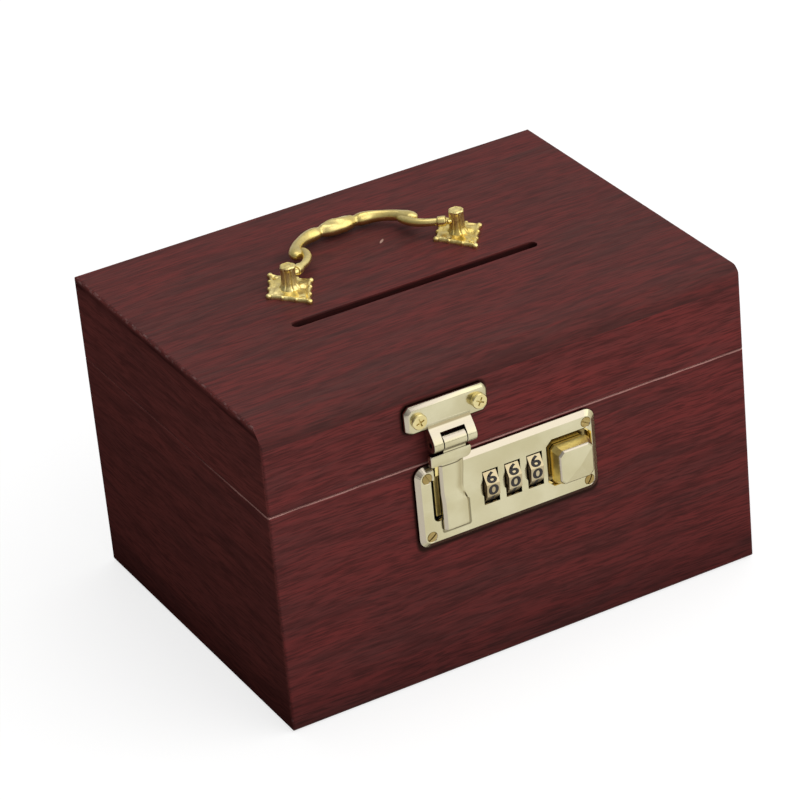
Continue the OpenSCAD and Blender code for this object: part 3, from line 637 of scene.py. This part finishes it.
def arc(cx, cy, r, a0, a1, n):
    """Points on an arc, angles in degrees."""
    angles = [math.radians(a0 + (a1 - a0) * i / n) for i in range(n + 1)]
    return [(cx + r * math.cos(a), cy + r * math.sin(a)) for a in angles]


def bezier(p0, p1, p2, p3, n):
    out = []
    for i in range(n + 1):
        t = i / n
        w = ((1 - t) ** 3, 3 * t * (1 - t) ** 2, 3 * t * t * (1 - t), t**3)
        out.append(tuple(sum(k * p[a] for k, p in zip(w, (p0, p1, p2, p3))) for a in range(2)))
    return out


def ease(x):
    x = min(max(x, 0.0), 1.0)
    return x * x * (3 - 2 * x)


def curve_at(table, x):
    """Value of a smooth curve through (x, value) pairs."""
    if x <= table[0][0]:
        return table[0][1]
    for (x0, y0), (x1, y1) in zip(table, table[1:]):
        if x <= x1:
            return y0 + (y1 - y0) * ease((x - x0) / (x1 - x0))
    return table[-1][1]


# ---------------------------------------------------------------- CAD nodes that are shown


STEEL_NODES = (
    "lock_housing", "housing_screws", "wheel_shaft", "detent_spring", "bolt_slide", "button_screw",
    "hasp_pin", "left_hinge_pin", "right_hinge_pin", "post_washers", "post_nuts",
)


def dress(name, material, bevel=0.0):
    o = NODES[name]
    o.data.materials.clear()
    o.data.materials.append(MATS[material])
    if bevel:
        round_edges(o, bevel)


def dress_lid_edges():
    """The lid board's ends and back take the tone of the faces below them."""
    mesh = NODES["lid_top"].data
    for m in ("side", "back"):
        mesh.materials.append(MATS[m])
    for face in mesh.polygons:
        if abs(face.center.x) > 0.96 * BOX_HI.x and abs(face.normal.x) > 0.6:
            face.material_index = 1
        elif face.center.y > 0.96 * BOX_HI.y and face.normal.y > 0.6:
            face.material_index = 2


def dress_all():
    for n in ("case_front", "lid_front"):
        dress(n, "front")
    dress("lid_top", "top")
    dress_lid_edges()
    for n in ("case_left", "case_right", "lid_left", "lid_right"):
        dress(n, "side")
    for n in ("case_back", "lid_back"):
        dress(n, "back")
    dress("case_bottom", "bare")
    for n in ("code_sleeve_1", "code_sleeve_2", "code_sleeve_3"):
        dress(n, "warm", 0.1)
    for n in NODES:
        if "hinge" in n and "pin" not in n:
            dress(n, "warm", 0.2)
    for n in STEEL_NODES:
        dress(n, "steel", 0.1)


dress_all()


# ---------------------------------------------------------------- lock plate

PLATE_CORNER = 4.0
PLATE_BEVEL = (1.6, 2.2, 2.2, 1.9)  # how far the bevel runs in from the left, right, lower and upper edge


def round_rect(x0, x1, z0, z1, r):
    corners = ((x0 + r, z0 + r, 180), (x1 - r, z0 + r, 270), (x1 - r, z1 - r, 0), (x0 + r, z1 - r, 90))
    out = []
    for x, z, start in corners:
        out += arc(x, z, r, start, start + 90, 6)
    return out


def lock_plate():
    """The CAD's plate with its openings, its bevel following the rounded corners."""
    lo, hi = box_mm("lock_plate")
    source = NODES["lock_plate"]
    mesh = source.data.copy()
    mesh.transform(source.matrix_world)
    mesh.materials.clear()
    mesh.materials.append(MATS["plate"])
    o = add_object("lock_face", mesh)
    left, right, low, high = PLATE_BEVEL
    front = FRONT - lo.y

    def outline(t, e):
        """The plate's outline t in front of the box. e is 0 outside the bevel and 1 at its inner edge."""
        edges = (lo.x + left * e, hi.x - right * e, lo.z + low * e, hi.z - high * e)
        return [on_front(x, z, t) for x, z in round_rect(*edges, PLATE_CORNER - 1.4 * e)]

    s = Solids()
    s.loft([outline(-20, 0.0), outline(front - 1.6, 0.0), outline(front, 1.0)])
    cut(o, s.verts, s.faces, "INTERSECT")
    round_edges(o, 0.25)
    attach(o, "case")
    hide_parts("lock_plate")


# ---------------------------------------------------------------- number wheels

WHEEL_REST = -4.0  # degrees that the wheels stand turned at rest
WHEEL_FLAT = 7.6  # distance from the axis to a flat
WHEEL_HALF = 2.85
WHEEL_BORE = 2.42
WHEEL_POINTS = 40
DIGIT_H = 4.3
DIGIT_T = 0.03  # half of a digit's thickness


def digit_shape(text):
    """Vertices, in millimetres about the middle, and faces of one digit."""
    extrude = 0.02
    data = bpy.data.curves.new("digit", "FONT")
    data.body = text
    data.size = 1.0
    data.extrude = extrude
    data.offset = 0.032
    data.resolution_u = 4
    o = add_object("digit", data)
    mesh = evaluated_mesh(o)
    xs, ys = [v.co.x for v in mesh.vertices], [v.co.y for v in mesh.vertices]
    k = DIGIT_H / (max(ys) - min(ys))
    cx, cy = (max(xs) + min(xs)) / 2, (max(ys) + min(ys)) / 2
    verts = [((v.co.x - cx) * k * 1.5, (v.co.y - cy) * k, v.co.z / extrude * DIGIT_T) for v in mesh.vertices]
    faces = [tuple(f.vertices) for f in mesh.polygons]
    bpy.data.objects.remove(o)
    return verts, faces


def wheel_drum(i):
    """A ten-sided drum, dark but for its flats."""
    x_mid, axis = mid(f"number_wheel_{i}").x, mid("wheel_shaft")
    n = WHEEL_POINTS

    def ring(x, r, flats=True):
        """Points round the shaft, at radius r or on ten flats r from the axis."""
        out = []
        for k in range(n):
            a = math.radians(WHEEL_REST + 18 + 9 * k)
            reach = r / math.cos(math.radians(9 * k % 36 - 18)) if flats else r
            out.append((x_mid + x, axis.y - reach * math.cos(a), axis.z + reach * math.sin(a)))
        return out

    rings = [
        ring(-WHEEL_HALF, WHEEL_BORE, False), ring(-WHEEL_HALF, WHEEL_FLAT - 0.35),
        ring(-WHEEL_HALF + 0.15, WHEEL_FLAT), ring(WHEEL_HALF - 0.15, WHEEL_FLAT),
        ring(WHEEL_HALF, WHEEL_FLAT - 0.35), ring(WHEEL_HALF, WHEEL_BORE, False),
    ]
    s = Solids()
    s.verts = [p for r in rings for p in r]
    for k in range(len(rings)):
        this, following = k * n, (k + 1) % len(rings) * n
        for q in range(n):
            after = (q + 1) % n
            s.add([this + q, this + after, following + after, following + q], 0 if k == 2 else 1)
    s.make(f"wheel_{i}", "wheel", f"wheel_{i}", (f"number_wheel_{i}",), smooth=10, slots=("dark",))


def wheel_digits(i, shapes):
    """The digits read upside down, with nought in front."""
    x_mid, axis = mid(f"number_wheel_{i}").x, mid("wheel_shaft")
    s = Solids()
    for k in range(10):
        a = math.radians(WHEEL_REST + 36 * k)
        out = Vector((0, -math.cos(a), math.sin(a)))
        up = Vector((0, math.sin(a), math.cos(a)))
        verts, faces = shapes[(10 - k) % 10]
        base = len(s.verts)
        for x, y, z in verts:
            p = Vector((x_mid - x, axis.y, axis.z)) - up * y + out * (WHEEL_FLAT + z)
            s.verts.append(tuple(p))
        for f in faces:
            s.add([base + q for q in f])
    s.make(f"digits_{i}", "ink", f"wheel_{i}", smooth=0)


def wheels():
    shapes = [digit_shape(str(k)) for k in range(10)]
    for i in (1, 2, 3):
        wheel_drum(i)
        wheel_digits(i, shapes)


# ---------------------------------------------------------------- button


def button():
    """A cap with a waist where it passes the plate and a low four-sided point, on its stem."""
    lo, hi = box_mm("lock_button")
    cx, cz = (lo.x + hi.x) / 2, (lo.z + hi.z) / 2
    w, h = hi.x - lo.x, hi.z - lo.z
    front = FRONT - lo.y
    s = Solids()
    # Distance in front of the box, inset, and size of the cut corners
    steps = (
        (1.1, 0.0, 1.5), (3.15, 0.0, 1.5), (3.3, -0.9, 1.7),
        (front - 2.0, 0.1, 1.7), (front - 1.7, 0.25, 1.7), (front - 1.3, 0.7, 1.6),
    )
    rings = [[on_front(x, z, t) for x, z in cut_rect(w - 2 * e, h - 2 * e, c, cx, cz)] for t, e, c in steps]
    n = len(rings[0])
    for k in range(len(rings) - 1):
        s.loft(rings[k:k + 2], caps=False, mark=0 if k > 2 else 1)
    s.add(list(range(n))[::-1], 1)
    top = len(s.verts)
    s.verts.append(on_front(cx + 0.8, cz - 0.3, front))
    for i in range(n):
        s.add([top - n + i, top - n + (i + 1) % n, top])
    s.make("button_cap", "plate", "release", ("lock_button",), smooth=8, slots=("gold",))
    stem = Solids()
    stem.prism(cut_rect(4, 5, 0.3, cx, cz), -1.8, 1.2, on_front)
    stem.make("button_stem", "warm", "release", smooth=30)


# ---------------------------------------------------------------- hasp


KNUCKLES_W = 17.6
MIDDLE_W = 9.2
KNUCKLE_R = 3.0
HOOK_X, HOOK_W = -34.4, 2.0
# Right edge of the tongue from its top down: share of its length, place
TONGUE_RIGHT = [(0.0, -22.9), (0.1, -22.9), (0.48, -23.7), (0.66, TONGUE_WIDE), (1.0, TONGUE_WIDE)]
# How far the tongue has widened: share of its length, share of the widening
TONGUE_WIDENS = [(0.0, 0.0), (0.42, 0.0), (0.62, 1.0), (1.0, 1.0)]
TONGUE_TOP = 91.2
TONGUE_BACK = 3.4
COLLAR_RIGHT, COLLAR_LOW, COLLAR_TOP = -20.2, 90.5, 95.1
# The hook's outline: distance in front of the box, height
HOOK = [
    (-5.0, 71.0), (-5.0, 88.6), (3.2, 88.6), (3.2, 90.2), (4.4, 90.2), (4.4, 92.6), (4.9, 92.6), (4.9, 90.4),
    (3.5, 89.7), (3.2, 85.4), (1.6, 84.6), (1.2, 82.0), (1.2, 67.8), (0.3, 67.8), (0.3, 68.6),
    (-0.6, 68.6), (-0.6, 71.0),
]


def side_on(t, z, x):
    """A point of an outline seen from the side, t in front of the box's front face."""
    return on_front(x, z, t)


def hasp_plate():
    """The bevelled plate, its rolled neck and the two outer knuckles."""
    lo, hi = box_mm("hasp_plate")
    pin = mid("hasp_pin")
    reach, axle = FRONT - pin.y, pin.z
    low = hi.z - HASP_PLATE_H
    x_mid, z_mid = (lo.x + hi.x) / 2, low + HASP_PLATE_H / 2
    w = hi.x - lo.x
    leaf = Solids()
    leaf.loft([
        [on_front(x, z, t) for x, z in cut_rect(w - 2 * e, HASP_PLATE_H - 2 * e, 2.0 - 0.4 * e, x_mid, z_mid)]
        for t, e in ((0.0, 0.0), (1.7, 0.0), (1.95, 0.1), (2.9, 1.1), (3.0, 1.3))
    ])
    leaf.make("hasp_leaf", "plate", "lid", ("hasp_plate",), smooth=35)
    roll = bezier((3.0, low + 3.0), (3.4, low + 0.6), (5.6, low - 0.4), (reach + 2.55, axle + 1.6), 10)
    knuckle = arc(reach, axle, KNUCKLE_R, 30, -165, 16)
    inner = [(1.5, axle + 0.6), (1.0, axle + 2.6), (1.2, low), (1.2, low + 3)]
    neck = Solids()
    neck.prism(roll + knuckle[1:] + inner, pin.x - KNUCKLES_W / 2, pin.x + KNUCKLES_W / 2, side_on)
    o = neck.make("hasp_neck", "plate", "lid", smooth=0)
    # Room for the arm's knuckle between the two outer ones
    room = MIDDLE_W / 2 + 0.35
    cut(o, [
        on_front(x, z, t)
        for x in (pin.x - room, pin.x + room) for z in (axle - 5, axle + 4.4) for t in (-1, 10)
    ], BLOCK)
    soften(o, 40, 0.12)


def arm_collar(s, left):
    """A collar with its lower right corner rounded and its face a little crowned."""
    x0, x1, z0, z1 = left, COLLAR_RIGHT, COLLAR_LOW, COLLAR_TOP
    r, chamfer = 2.4, 0.4
    outline = [(x0, z0 + chamfer), (x0 + chamfer, z0), (x1 - r, z0)]
    outline += arc(x1 - r, z0 + r, r, -90, 0, 8)[1:]
    outline += [(x1, z1 - chamfer), (x1 - chamfer, z1), (x0 + chamfer, z1), (x0, z1 - chamfer)]
    cx, cz = (x0 + x1) / 2, (z0 + z1) / 2
    rings = []
    for t, e in ((3.4, 0.0), (5.2, 0.0), (5.65, 0.18), (5.85, 0.6)):
        kx, kz = 1 - 2 * e / (x1 - x0), 1 - 2 * e / (z1 - z0)
        rings.append([on_front(cx + (x - cx) * kx, cz + (z - cz) * kz, t) for x, z in outline])
    s.loft(rings)


def arm_tongue(s, low):
    """The long tongue: a waist, a wide lower end and a crowned face with rounded edges."""
    rings = []
    steps, across = 60, 12
    round_r = 0.9
    for k in range(steps + 1):
        z = TONGUE_TOP + (low - TONGUE_TOP) * k / steps
        q = k / steps
        wide = curve_at(TONGUE_WIDENS, q)
        xl, xr = TONGUE_LEFT, curve_at(TONGUE_RIGHT, q)
        turned = max(q - 0.95, 0.0) / 0.05
        face = 4.6 + 0.6 * wide - round_r * (1 - math.sqrt(max(1 - turned * turned, 0.0)))
        end = 1 - ease((q - 0.96) / 0.04) * 0.35 if q > 0.96 else 1.0
        crown = (0.3 + 0.3 * wide) * end
        edge = 3.0 - 2.2 * wide
        ring = [on_front(xl, z, TONGUE_BACK), on_front(xl, z, face - round_r)]
        for i in range(across + 1):
            a = i / across
            x = xl + 0.12 + (xr - xl - 0.24) * a
            side = min(x - xl, (xr - x) / edge * 0.8)
            round_off = round_r * (1 - ease(min(side / round_r, 1.0)))
            ring.append(on_front(x, z, face - round_off + crown * (1 - (2 * a - 1) ** 2)))
        ring += [on_front(xr, z, face - round_r), on_front(xr, z, TONGUE_BACK)]
        rings.append(ring)
    s.loft(rings)


def arm_hook():
    """The flat hook behind the collar, with the eye that the bolt enters."""
    s = Solids()
    s.prism(HOOK, HOOK_X, HOOK_X + HOOK_W, side_on)
    blade = s.make("hasp_hook", "gold", "hasp", smooth=20)
    eye = [
        on_front(x, z, t)
        for x in (HOOK_X - 1, HOOK_X + 3) for z in (74.05, 78.85) for t in (-4.05, -1.55)
    ]
    cut(blade, eye, BLOCK)
    soften(blade, 30, 0.1)


def hasp_arm():
    """Knuckle and web, rounded collar, long tongue, and the hook behind them."""
    pin = mid("hasp_pin")
    lo = box_mm("hasp_arm")[0]
    reach, axle = FRONT - pin.y, pin.z
    s = Solids()
    web = arc(reach, axle, KNUCKLE_R, 215, -25, 26) + [(5.9, 96.2), (5.7, 94.3), (3.5, 94.3), (3.5, 96.4)]
    s.prism(web, pin.x - MIDDLE_W / 2, pin.x + MIDDLE_W / 2, side_on)
    arm_collar(s, lo.x)
    arm_tongue(s, lo.z)
    arm_hook()
    s.make("hasp_tongue", "plate", "hasp", ("hasp_arm",), smooth=34, bevel=0.14)


# ---------------------------------------------------------------- screws

SHANK_R, SHANK_END = 1.3, -11.0
# Heads: radius, distance in front of the box
PAN_HEAD = [
    (SHANK_R, SHANK_END), (SHANK_R, 3.0), (2.9, 3.0), (3.0, 3.2), (3.0, 4.75), (2.75, 5.1), (1.8, 5.2),
]
SUNK_HEAD = [
    (SHANK_R, SHANK_END), (SHANK_R, 1.8), (2.05, 2.7), (1.9, 2.98), (0.9, 3.16), (0.05, 3.2),
]


def screw(name, material, body, replaced, x, z, profile, sides):
    s = Solids()
    s.lathe(profile, lambda a, b, h: on_front(x + a, z + b, h), sides)
    return s.make(name, material, body, replaced, smooth=0)


def cut_slot(o, x, z, turn, half_length, half_width, depths):
    """Cuts a slot, turned this many degrees, into a screw head."""
    c, d = math.cos(math.radians(turn)), math.sin(math.radians(turn))
    cut(o, [
        on_front(x + p * c - q * d, z + p * d + q * c, t)
        for p in (-half_length, half_length) for q in (-half_width, half_width) for t in depths
    ], BLOCK)


def hasp_plate_screws():
    """Pan heads with crossed recesses."""
    lo, hi = box_mm("hasp_screws")
    z = (lo.z + hi.z) / 2
    for k, (x, turn) in enumerate(((lo.x + 3, 20), (hi.x - 3, 62))):
        o = screw(f"hasp_screw_{k}", "screw", "lid", ("hasp_screws",) if k == 0 else (), x, z, PAN_HEAD, 36)
        for add in (0, 90):
            cut_slot(o, x, z, turn + add, 1.7, 0.28, (4.3, 6.4))
        soften(o, 35, 0.1)


def lock_plate_screws():
    """Slotted countersunk heads."""
    lo, hi = box_mm("lock_screws")
    places = [(x, z) for x in (lo.x + 2.1, hi.x - 2.1) for z in (lo.z + 2.1, hi.z - 2.1)]
    for k, ((x, z), turn) in enumerate(zip(places, (35, 118, 60, 150))):
        o = screw(f"lock_screw_{k}", "aged", "case", ("lock_screws",) if k == 0 else (), x, z, SUNK_HEAD, 32)
        cut_slot(o, x, z, turn, 2.4, 0.26, (2.55, 4.0))
        soften(o, 35, 0.06)


# ---------------------------------------------------------------- handle

POSTS = [mid("left_post"), mid("right_post")]
PIVOT = LID_TOP + 6.5
HANDLE_X = (POSTS[0].x + POSTS[1].x) / 2
HANDLE_Y = POSTS[0].y
LEAN = math.radians(96)  # how far the bail leans back from upright at rest
STUD_R, STUD_FROM, STUD_TO = 1.05, 32.0, 37.8
# Half of the grip, from the curl at its shoulder to the middle:
# distance from the middle, reach, half width, half depth
GRIP = [
    (24.9, 12.7, 0.5, 0.5), (24.9, 13.1, 1.7, 1.4), (24.7, 14.6, 2.6, 2.0), (24.0, 17.0, 2.7, 2.2),
    (22.5, 19.8, 2.4, 2.1), (20.4, 22.6, 2.2, 2.1), (17.6, 25.2, 2.2, 2.1), (14.4, 27.2, 2.5, 2.3),
    (11.6, 28.2, 2.9, 2.5), (9.4, 28.6, 2.8, 2.4), (7.9, 28.8, 2.3, 2.0), (6.8, 28.9, 2.6, 2.1),
    (4.8, 29.0, 3.5, 2.6), (2.0, 29.0, 4.0, 2.9), (0.0, 29.0, 4.0, 2.9),
]
# The thinner arm from the shoulder to the post, with its square collar
ARM = [
    (20.7, 18.2, 0.9, 0.9), (21.0, 16.4, 1.5, 1.4), (21.5, 13.6, 1.75, 1.6), (22.5, 10.4, 1.75, 1.65),
    (24.1, 7.6, 1.65, 1.6), (26.2, 5.3, 1.5, 1.5), (28.4, 3.7, 1.4, 1.45), (29.3, 3.1, 1.45, 1.45),
    (29.6, 2.9, 2.0, 1.9), (31.2, 1.9, 2.1, 2.0), (32.0, 1.4, 2.0, 1.9), (32.3, 1.2, 1.3, 1.3),
    (33.6, 0.3, 1.0, 1.0),
]


def bail_point(x, s, n):
    """A point in the resting bail's plane: across, reach from the pivot, and height off the plane."""
    return (
        HANDLE_X + x,
        HANDLE_Y + s * math.sin(LEAN) - n * math.cos(LEAN),
        PIVOT + s * math.cos(LEAN) + n * math.sin(LEAN),
    )


def spline(points, steps):
    """A Catmull-Rom curve through points of any width."""
    out = []
    for i in range(len(points) - 1):
        p = [points[max(i - 1, 0)], points[i], points[i + 1], points[min(i + 2, len(points) - 1)]]
        for k in range(steps):
            t = k / steps
            out.append(tuple(
                0.5 * (2 * b + (c - a) * t + (2 * a - 5 * b + 4 * c - d) * t * t
                       + (3 * b - a - 3 * c + d) * t**3)
                for a, b, c, d in zip(*p)
            ))
    return out + [points[-1]]


def sweep(s, line, relief):
    """Skins an oval of changing size along a line of (across, reach, half width, half depth)."""
    n = 28
    rings = []
    for i, (x, reach, w, d) in enumerate(line):
        a, b = line[max(i - 1, 0)], line[min(i + 1, len(line) - 1)]
        run = Vector((b[0] - a[0], b[1] - a[1])).normalized()
        ring = []
        for k in range(n):
            c, up = math.cos(2 * math.pi * k / n), math.sin(2 * math.pi * k / n)
            height = up * d + relief(x, c) * max(up, 0)
            ring.append(bail_point(x - run.y * c * w, reach + run.x * c * w, height))
        rings.append(ring)
    s.loft(rings)


def leaf_relief(x, c):
    """Height of the leaf's ridge and of the crease along the shoulders."""
    far = abs(x)
    leaf = ease((7.5 - far) / 1.6)
    shoulder = ease((far - 8.5) / 1.5) * ease((24 - far) / 3)
    return (0.35 * leaf * math.exp(-(((c + 0.25 * math.sin(x * 0.55)) / 0.22) ** 2))
            + 0.12 * leaf * math.cos(5 * c + x * 0.8)
            + 0.28 * shoulder * math.exp(-((c + 0.3) / 0.25) ** 2))


def bail():
    """The grip with its curled ends, and on each side the arm and the stud that turns in the post."""
    s = Solids()
    half = [(-x, reach, w, d) for x, reach, w, d in GRIP]
    other = [(-x, reach, w, d) for x, reach, w, d in half[-2::-1]]
    sweep(s, spline(half + other, 6), leaf_relief)
    for side in (-1, 1):
        sweep(s, spline([(side * x, reach, w, d) for x, reach, w, d in ARM], 5), lambda x, c: 0.0)
        s.loft([
            [bail_point(side * e, STUD_R * math.cos(t), STUD_R * math.sin(t)) for t in full_turn(16)]
            for e in (STUD_FROM, STUD_TO)
        ])
    s.make("bail", "gold", "handle", ("handle_bail",), smooth=50)


ROSETTE_X, ROSETTE_Y = 9.9, 14.9  # half of its width and depth
ROSETTE_TURNS = (4.0, -2.0)  # degrees, left and right
NAIL_Y = 10.4


def rosette(side, p):
    """A scalloped lozenge cast in low relief, with a bead at each corner and two along each edge."""
    around, steps = 120, 20

    def edge(t):
        straight = 1 / (abs(math.cos(t)) / ROSETTE_X + abs(math.sin(t)) / ROSETTE_Y)
        turn = math.atan2(abs(math.sin(t)) / ROSETTE_Y, abs(math.cos(t)) / ROSETTE_X)
        return straight * (0.985 - 0.035 * math.sin(turn * 6) ** 2)

    def relief(x, y, q):
        r = math.hypot(x, y)
        turn = math.atan2(y * ROSETTE_X / ROSETTE_Y, x)
        rim = 0.4 * math.exp(-((q - 0.9) / 0.06) ** 2)
        dome = 0.8 * math.exp(-(r / 3.6) ** 2)
        petals = 0.2 * math.cos(8 * turn + 2.5 * q) * ease((q - 0.25) / 0.15) * ease((0.88 - q) / 0.1)
        lobes = 0.34 * math.cos(4 * turn) * math.exp(-((q - 0.62) / 0.2) ** 2)
        hollow = -0.6 * math.exp(-((abs(y) - NAIL_Y) ** 2 + x * x) / 1.6)
        return 1.25 + rim + dome + petals + lobes + hollow

    angle = math.radians(ROSETTE_TURNS[side > 0])
    c, d = math.cos(angle), math.sin(angle)

    def place(x, y, h):
        return (p.x + x * c - y * d, p.y + x * d + y * c, LID_TOP + h)

    rings = []
    for j in range(steps + 1):
        q = max(j / steps, 0.02)
        ring = []
        for t in full_turn(around):
            x, y = edge(t) * q * math.cos(t), edge(t) * q * math.sin(t)
            ring.append(place(x, y, relief(x, y, q) * (1 - 0.3 * ease((q - 0.94) / 0.06))))
        rings.append(ring)
    rings.append([place(edge(t) * math.cos(t), edge(t) * math.sin(t), 0.0) for t in full_turn(around)])
    s = Solids()
    s.loft(rings)
    corners = [(ROSETTE_X, 0), (0, ROSETTE_Y), (-ROSETTE_X, 0), (0, -ROSETTE_Y)]
    for (x0, y0), (x1, y1) in zip(corners, corners[1:] + corners[:1]):
        for share, r in ((0.0, 1.15), (0.33, 0.8), (0.67, 0.8)):
            x, y = (x0 + (x1 - x0) * share) * 0.93, (y0 + (y1 - y0) * share) * 0.93
            s.lathe([(r * 0.9, 0.0), (r, 0.8), (r * 0.92, 1.3), (r * 0.6, 1.65), (0.05, 1.8)],
                    lambda a, b, h: place(x + a, y + b, h), 16)
    name = "left_rosette" if side < 0 else "right_rosette"
    s.make(f"{name}_cast", "cast", "lid", (name,), smooth=60)


def post(side, p):
    """A fluted column on a flared foot, with a flower for a cap, and its stud through the lid."""
    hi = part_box("left_post")[1].z / MM
    column = [(4.1, 1.1), (4.0, 1.6), (3.3, 2.4), (2.95, 3.5)]
    cap = [(2.8, 2.2), (2.85, 1.5), (3.05, 1.1), (3.05, 0.4), (2.6, 0.02), (1.4, 0.3), (0.8, 0.05), (0.05, 0)]
    profile = [(r, LID_TOP + z) for r, z in column] + [(r, hi - z) for r, z in cap]
    rings = []
    for k, (r, z) in enumerate(profile):
        ring = []
        for t in full_turn(96):
            groove = 0.34 * math.exp(-((math.sin(4 * t + 0.5) / 0.25) ** 2)) if 1 <= k <= 5 else 0.0
            petal = 0.35 * abs(math.sin(3 * t)) ** 3 if 6 <= k <= 8 else 0.0
            reach = r - groove - petal
            ring.append((p.x + reach * math.cos(t), p.y + reach * math.sin(t), z))
        rings.append(ring)
    s = Solids()
    s.loft(rings)
    stud = [(1.9, 111.5), (1.9, LID_TOP + 1.5)]
    s.lathe(stud, lambda a, b, h: (p.x + a, p.y + b, h), 24)
    name = "left_post" if side < 0 else "right_post"
    s.make(f"{name}_cast", "cast", "lid", (name,), smooth=40)


def nails():
    """The two nails of each rosette: radius and height over the lid."""
    profile = [(0.7, -6), (0.7, 0.7), (1.25, 0.9), (1.1, 1.35), (0.5, 1.6), (0.05, 1.65)]
    s = Solids()
    for p in POSTS:
        for y in (-NAIL_Y, NAIL_Y):
            s.lathe(profile, lambda a, b, h: (p.x + a, p.y + y + b, LID_TOP + h), 20)
    s.make("nails", "gold", "lid", ("rosette_nails",), smooth=40)


lock_plate()
wheels()
button()
hasp_plate()
hasp_arm()
hasp_plate_screws()
lock_plate_screws()
bail()
for side, p in zip((-1, 1), POSTS):
    rosette(side, p)
    post(side, p)
nails()


# ---------------------------------------------------------------- stage


def floor():
    """A pale floor that glows a little, so the box stands on near white."""
    s = Shader("floor", specular=0.2)
    cloud = s.noise((3, 3, 3), 2.0)
    mat = s.done(s.ramp(cloud, (0.3, (0.33, 0.33, 0.33)), (0.7, (0.36, 0.36, 0.355))), 0.8)
    s.bsdf.inputs["Emission Color"].default_value = (1, 1, 1, 1)
    s.bsdf.inputs["Emission Strength"].default_value = 0.72
    bpy.ops.mesh.primitive_plane_add(size=8, location=(0, 0, -0.0002))
    o = bpy.context.object
    o.name = "floor"
    o.visible_diffuse = False
    o.data.materials.append(mat)


def area_light(name, place, aim, size, power):
    data = bpy.data.lights.new(name, "AREA")
    data.shape = "RECTANGLE"
    data.size, data.size_y = size
    data.energy = power
    o = add_object(name, data)
    o.location = place
    o.rotation_euler = (Vector(aim) - Vector(place)).to_track_quat("-Z", "Y").to_euler()


def lights():
    """A white tent that falls off to the left and below, a wide key light and a soft top light."""
    world = bpy.data.worlds.new("studio")
    bpy.context.scene.world = world
    world.use_nodes = True
    tree = world.node_tree
    back = tree.nodes["Background"]
    back.inputs["Color"].default_value = (1, 1, 1, 1)
    lean = tree.nodes.new("ShaderNodeVectorMath")
    lean.operation = "DOT_PRODUCT"
    tree.links.new(tree.nodes.new("ShaderNodeTexCoord").outputs["Generated"], lean.inputs[0])
    lean.inputs[1].default_value = (0.36, -0.12, 0.22)
    level = tree.nodes.new("ShaderNodeMath")
    level.operation = "ADD"
    tree.links.new(lean.outputs["Value"], level.inputs[0])
    level.inputs[1].default_value = 0.5
    tree.links.new(level.outputs[0], back.inputs["Strength"])
    area_light("key", (1.1, -1.5, 1.6), (0, 0, 0.05), (2.8, 2.8), 27)
    area_light("top", (0.1, 0.3, 1.9), (0, 0, 0.1), (1.4, 1.0), 6)


def camera():
    """The viewpoint that fits the box's own perspective."""
    data = bpy.data.cameras.new("camera")
    data.sensor_width = 36
    data.lens = 180.5
    data.clip_start, data.clip_end = 0.05, 30
    o = add_object("camera", data)
    o.location = (-0.60059, -1.17894, 0.80710)
    o.rotation_euler = tuple(math.radians(a) for a in (60.7775, 4.9014, -29.4985))
    bpy.context.scene.camera = o


floor()
lights()
camera()
bpy.context.scene.view_settings.view_transform = "Standard"
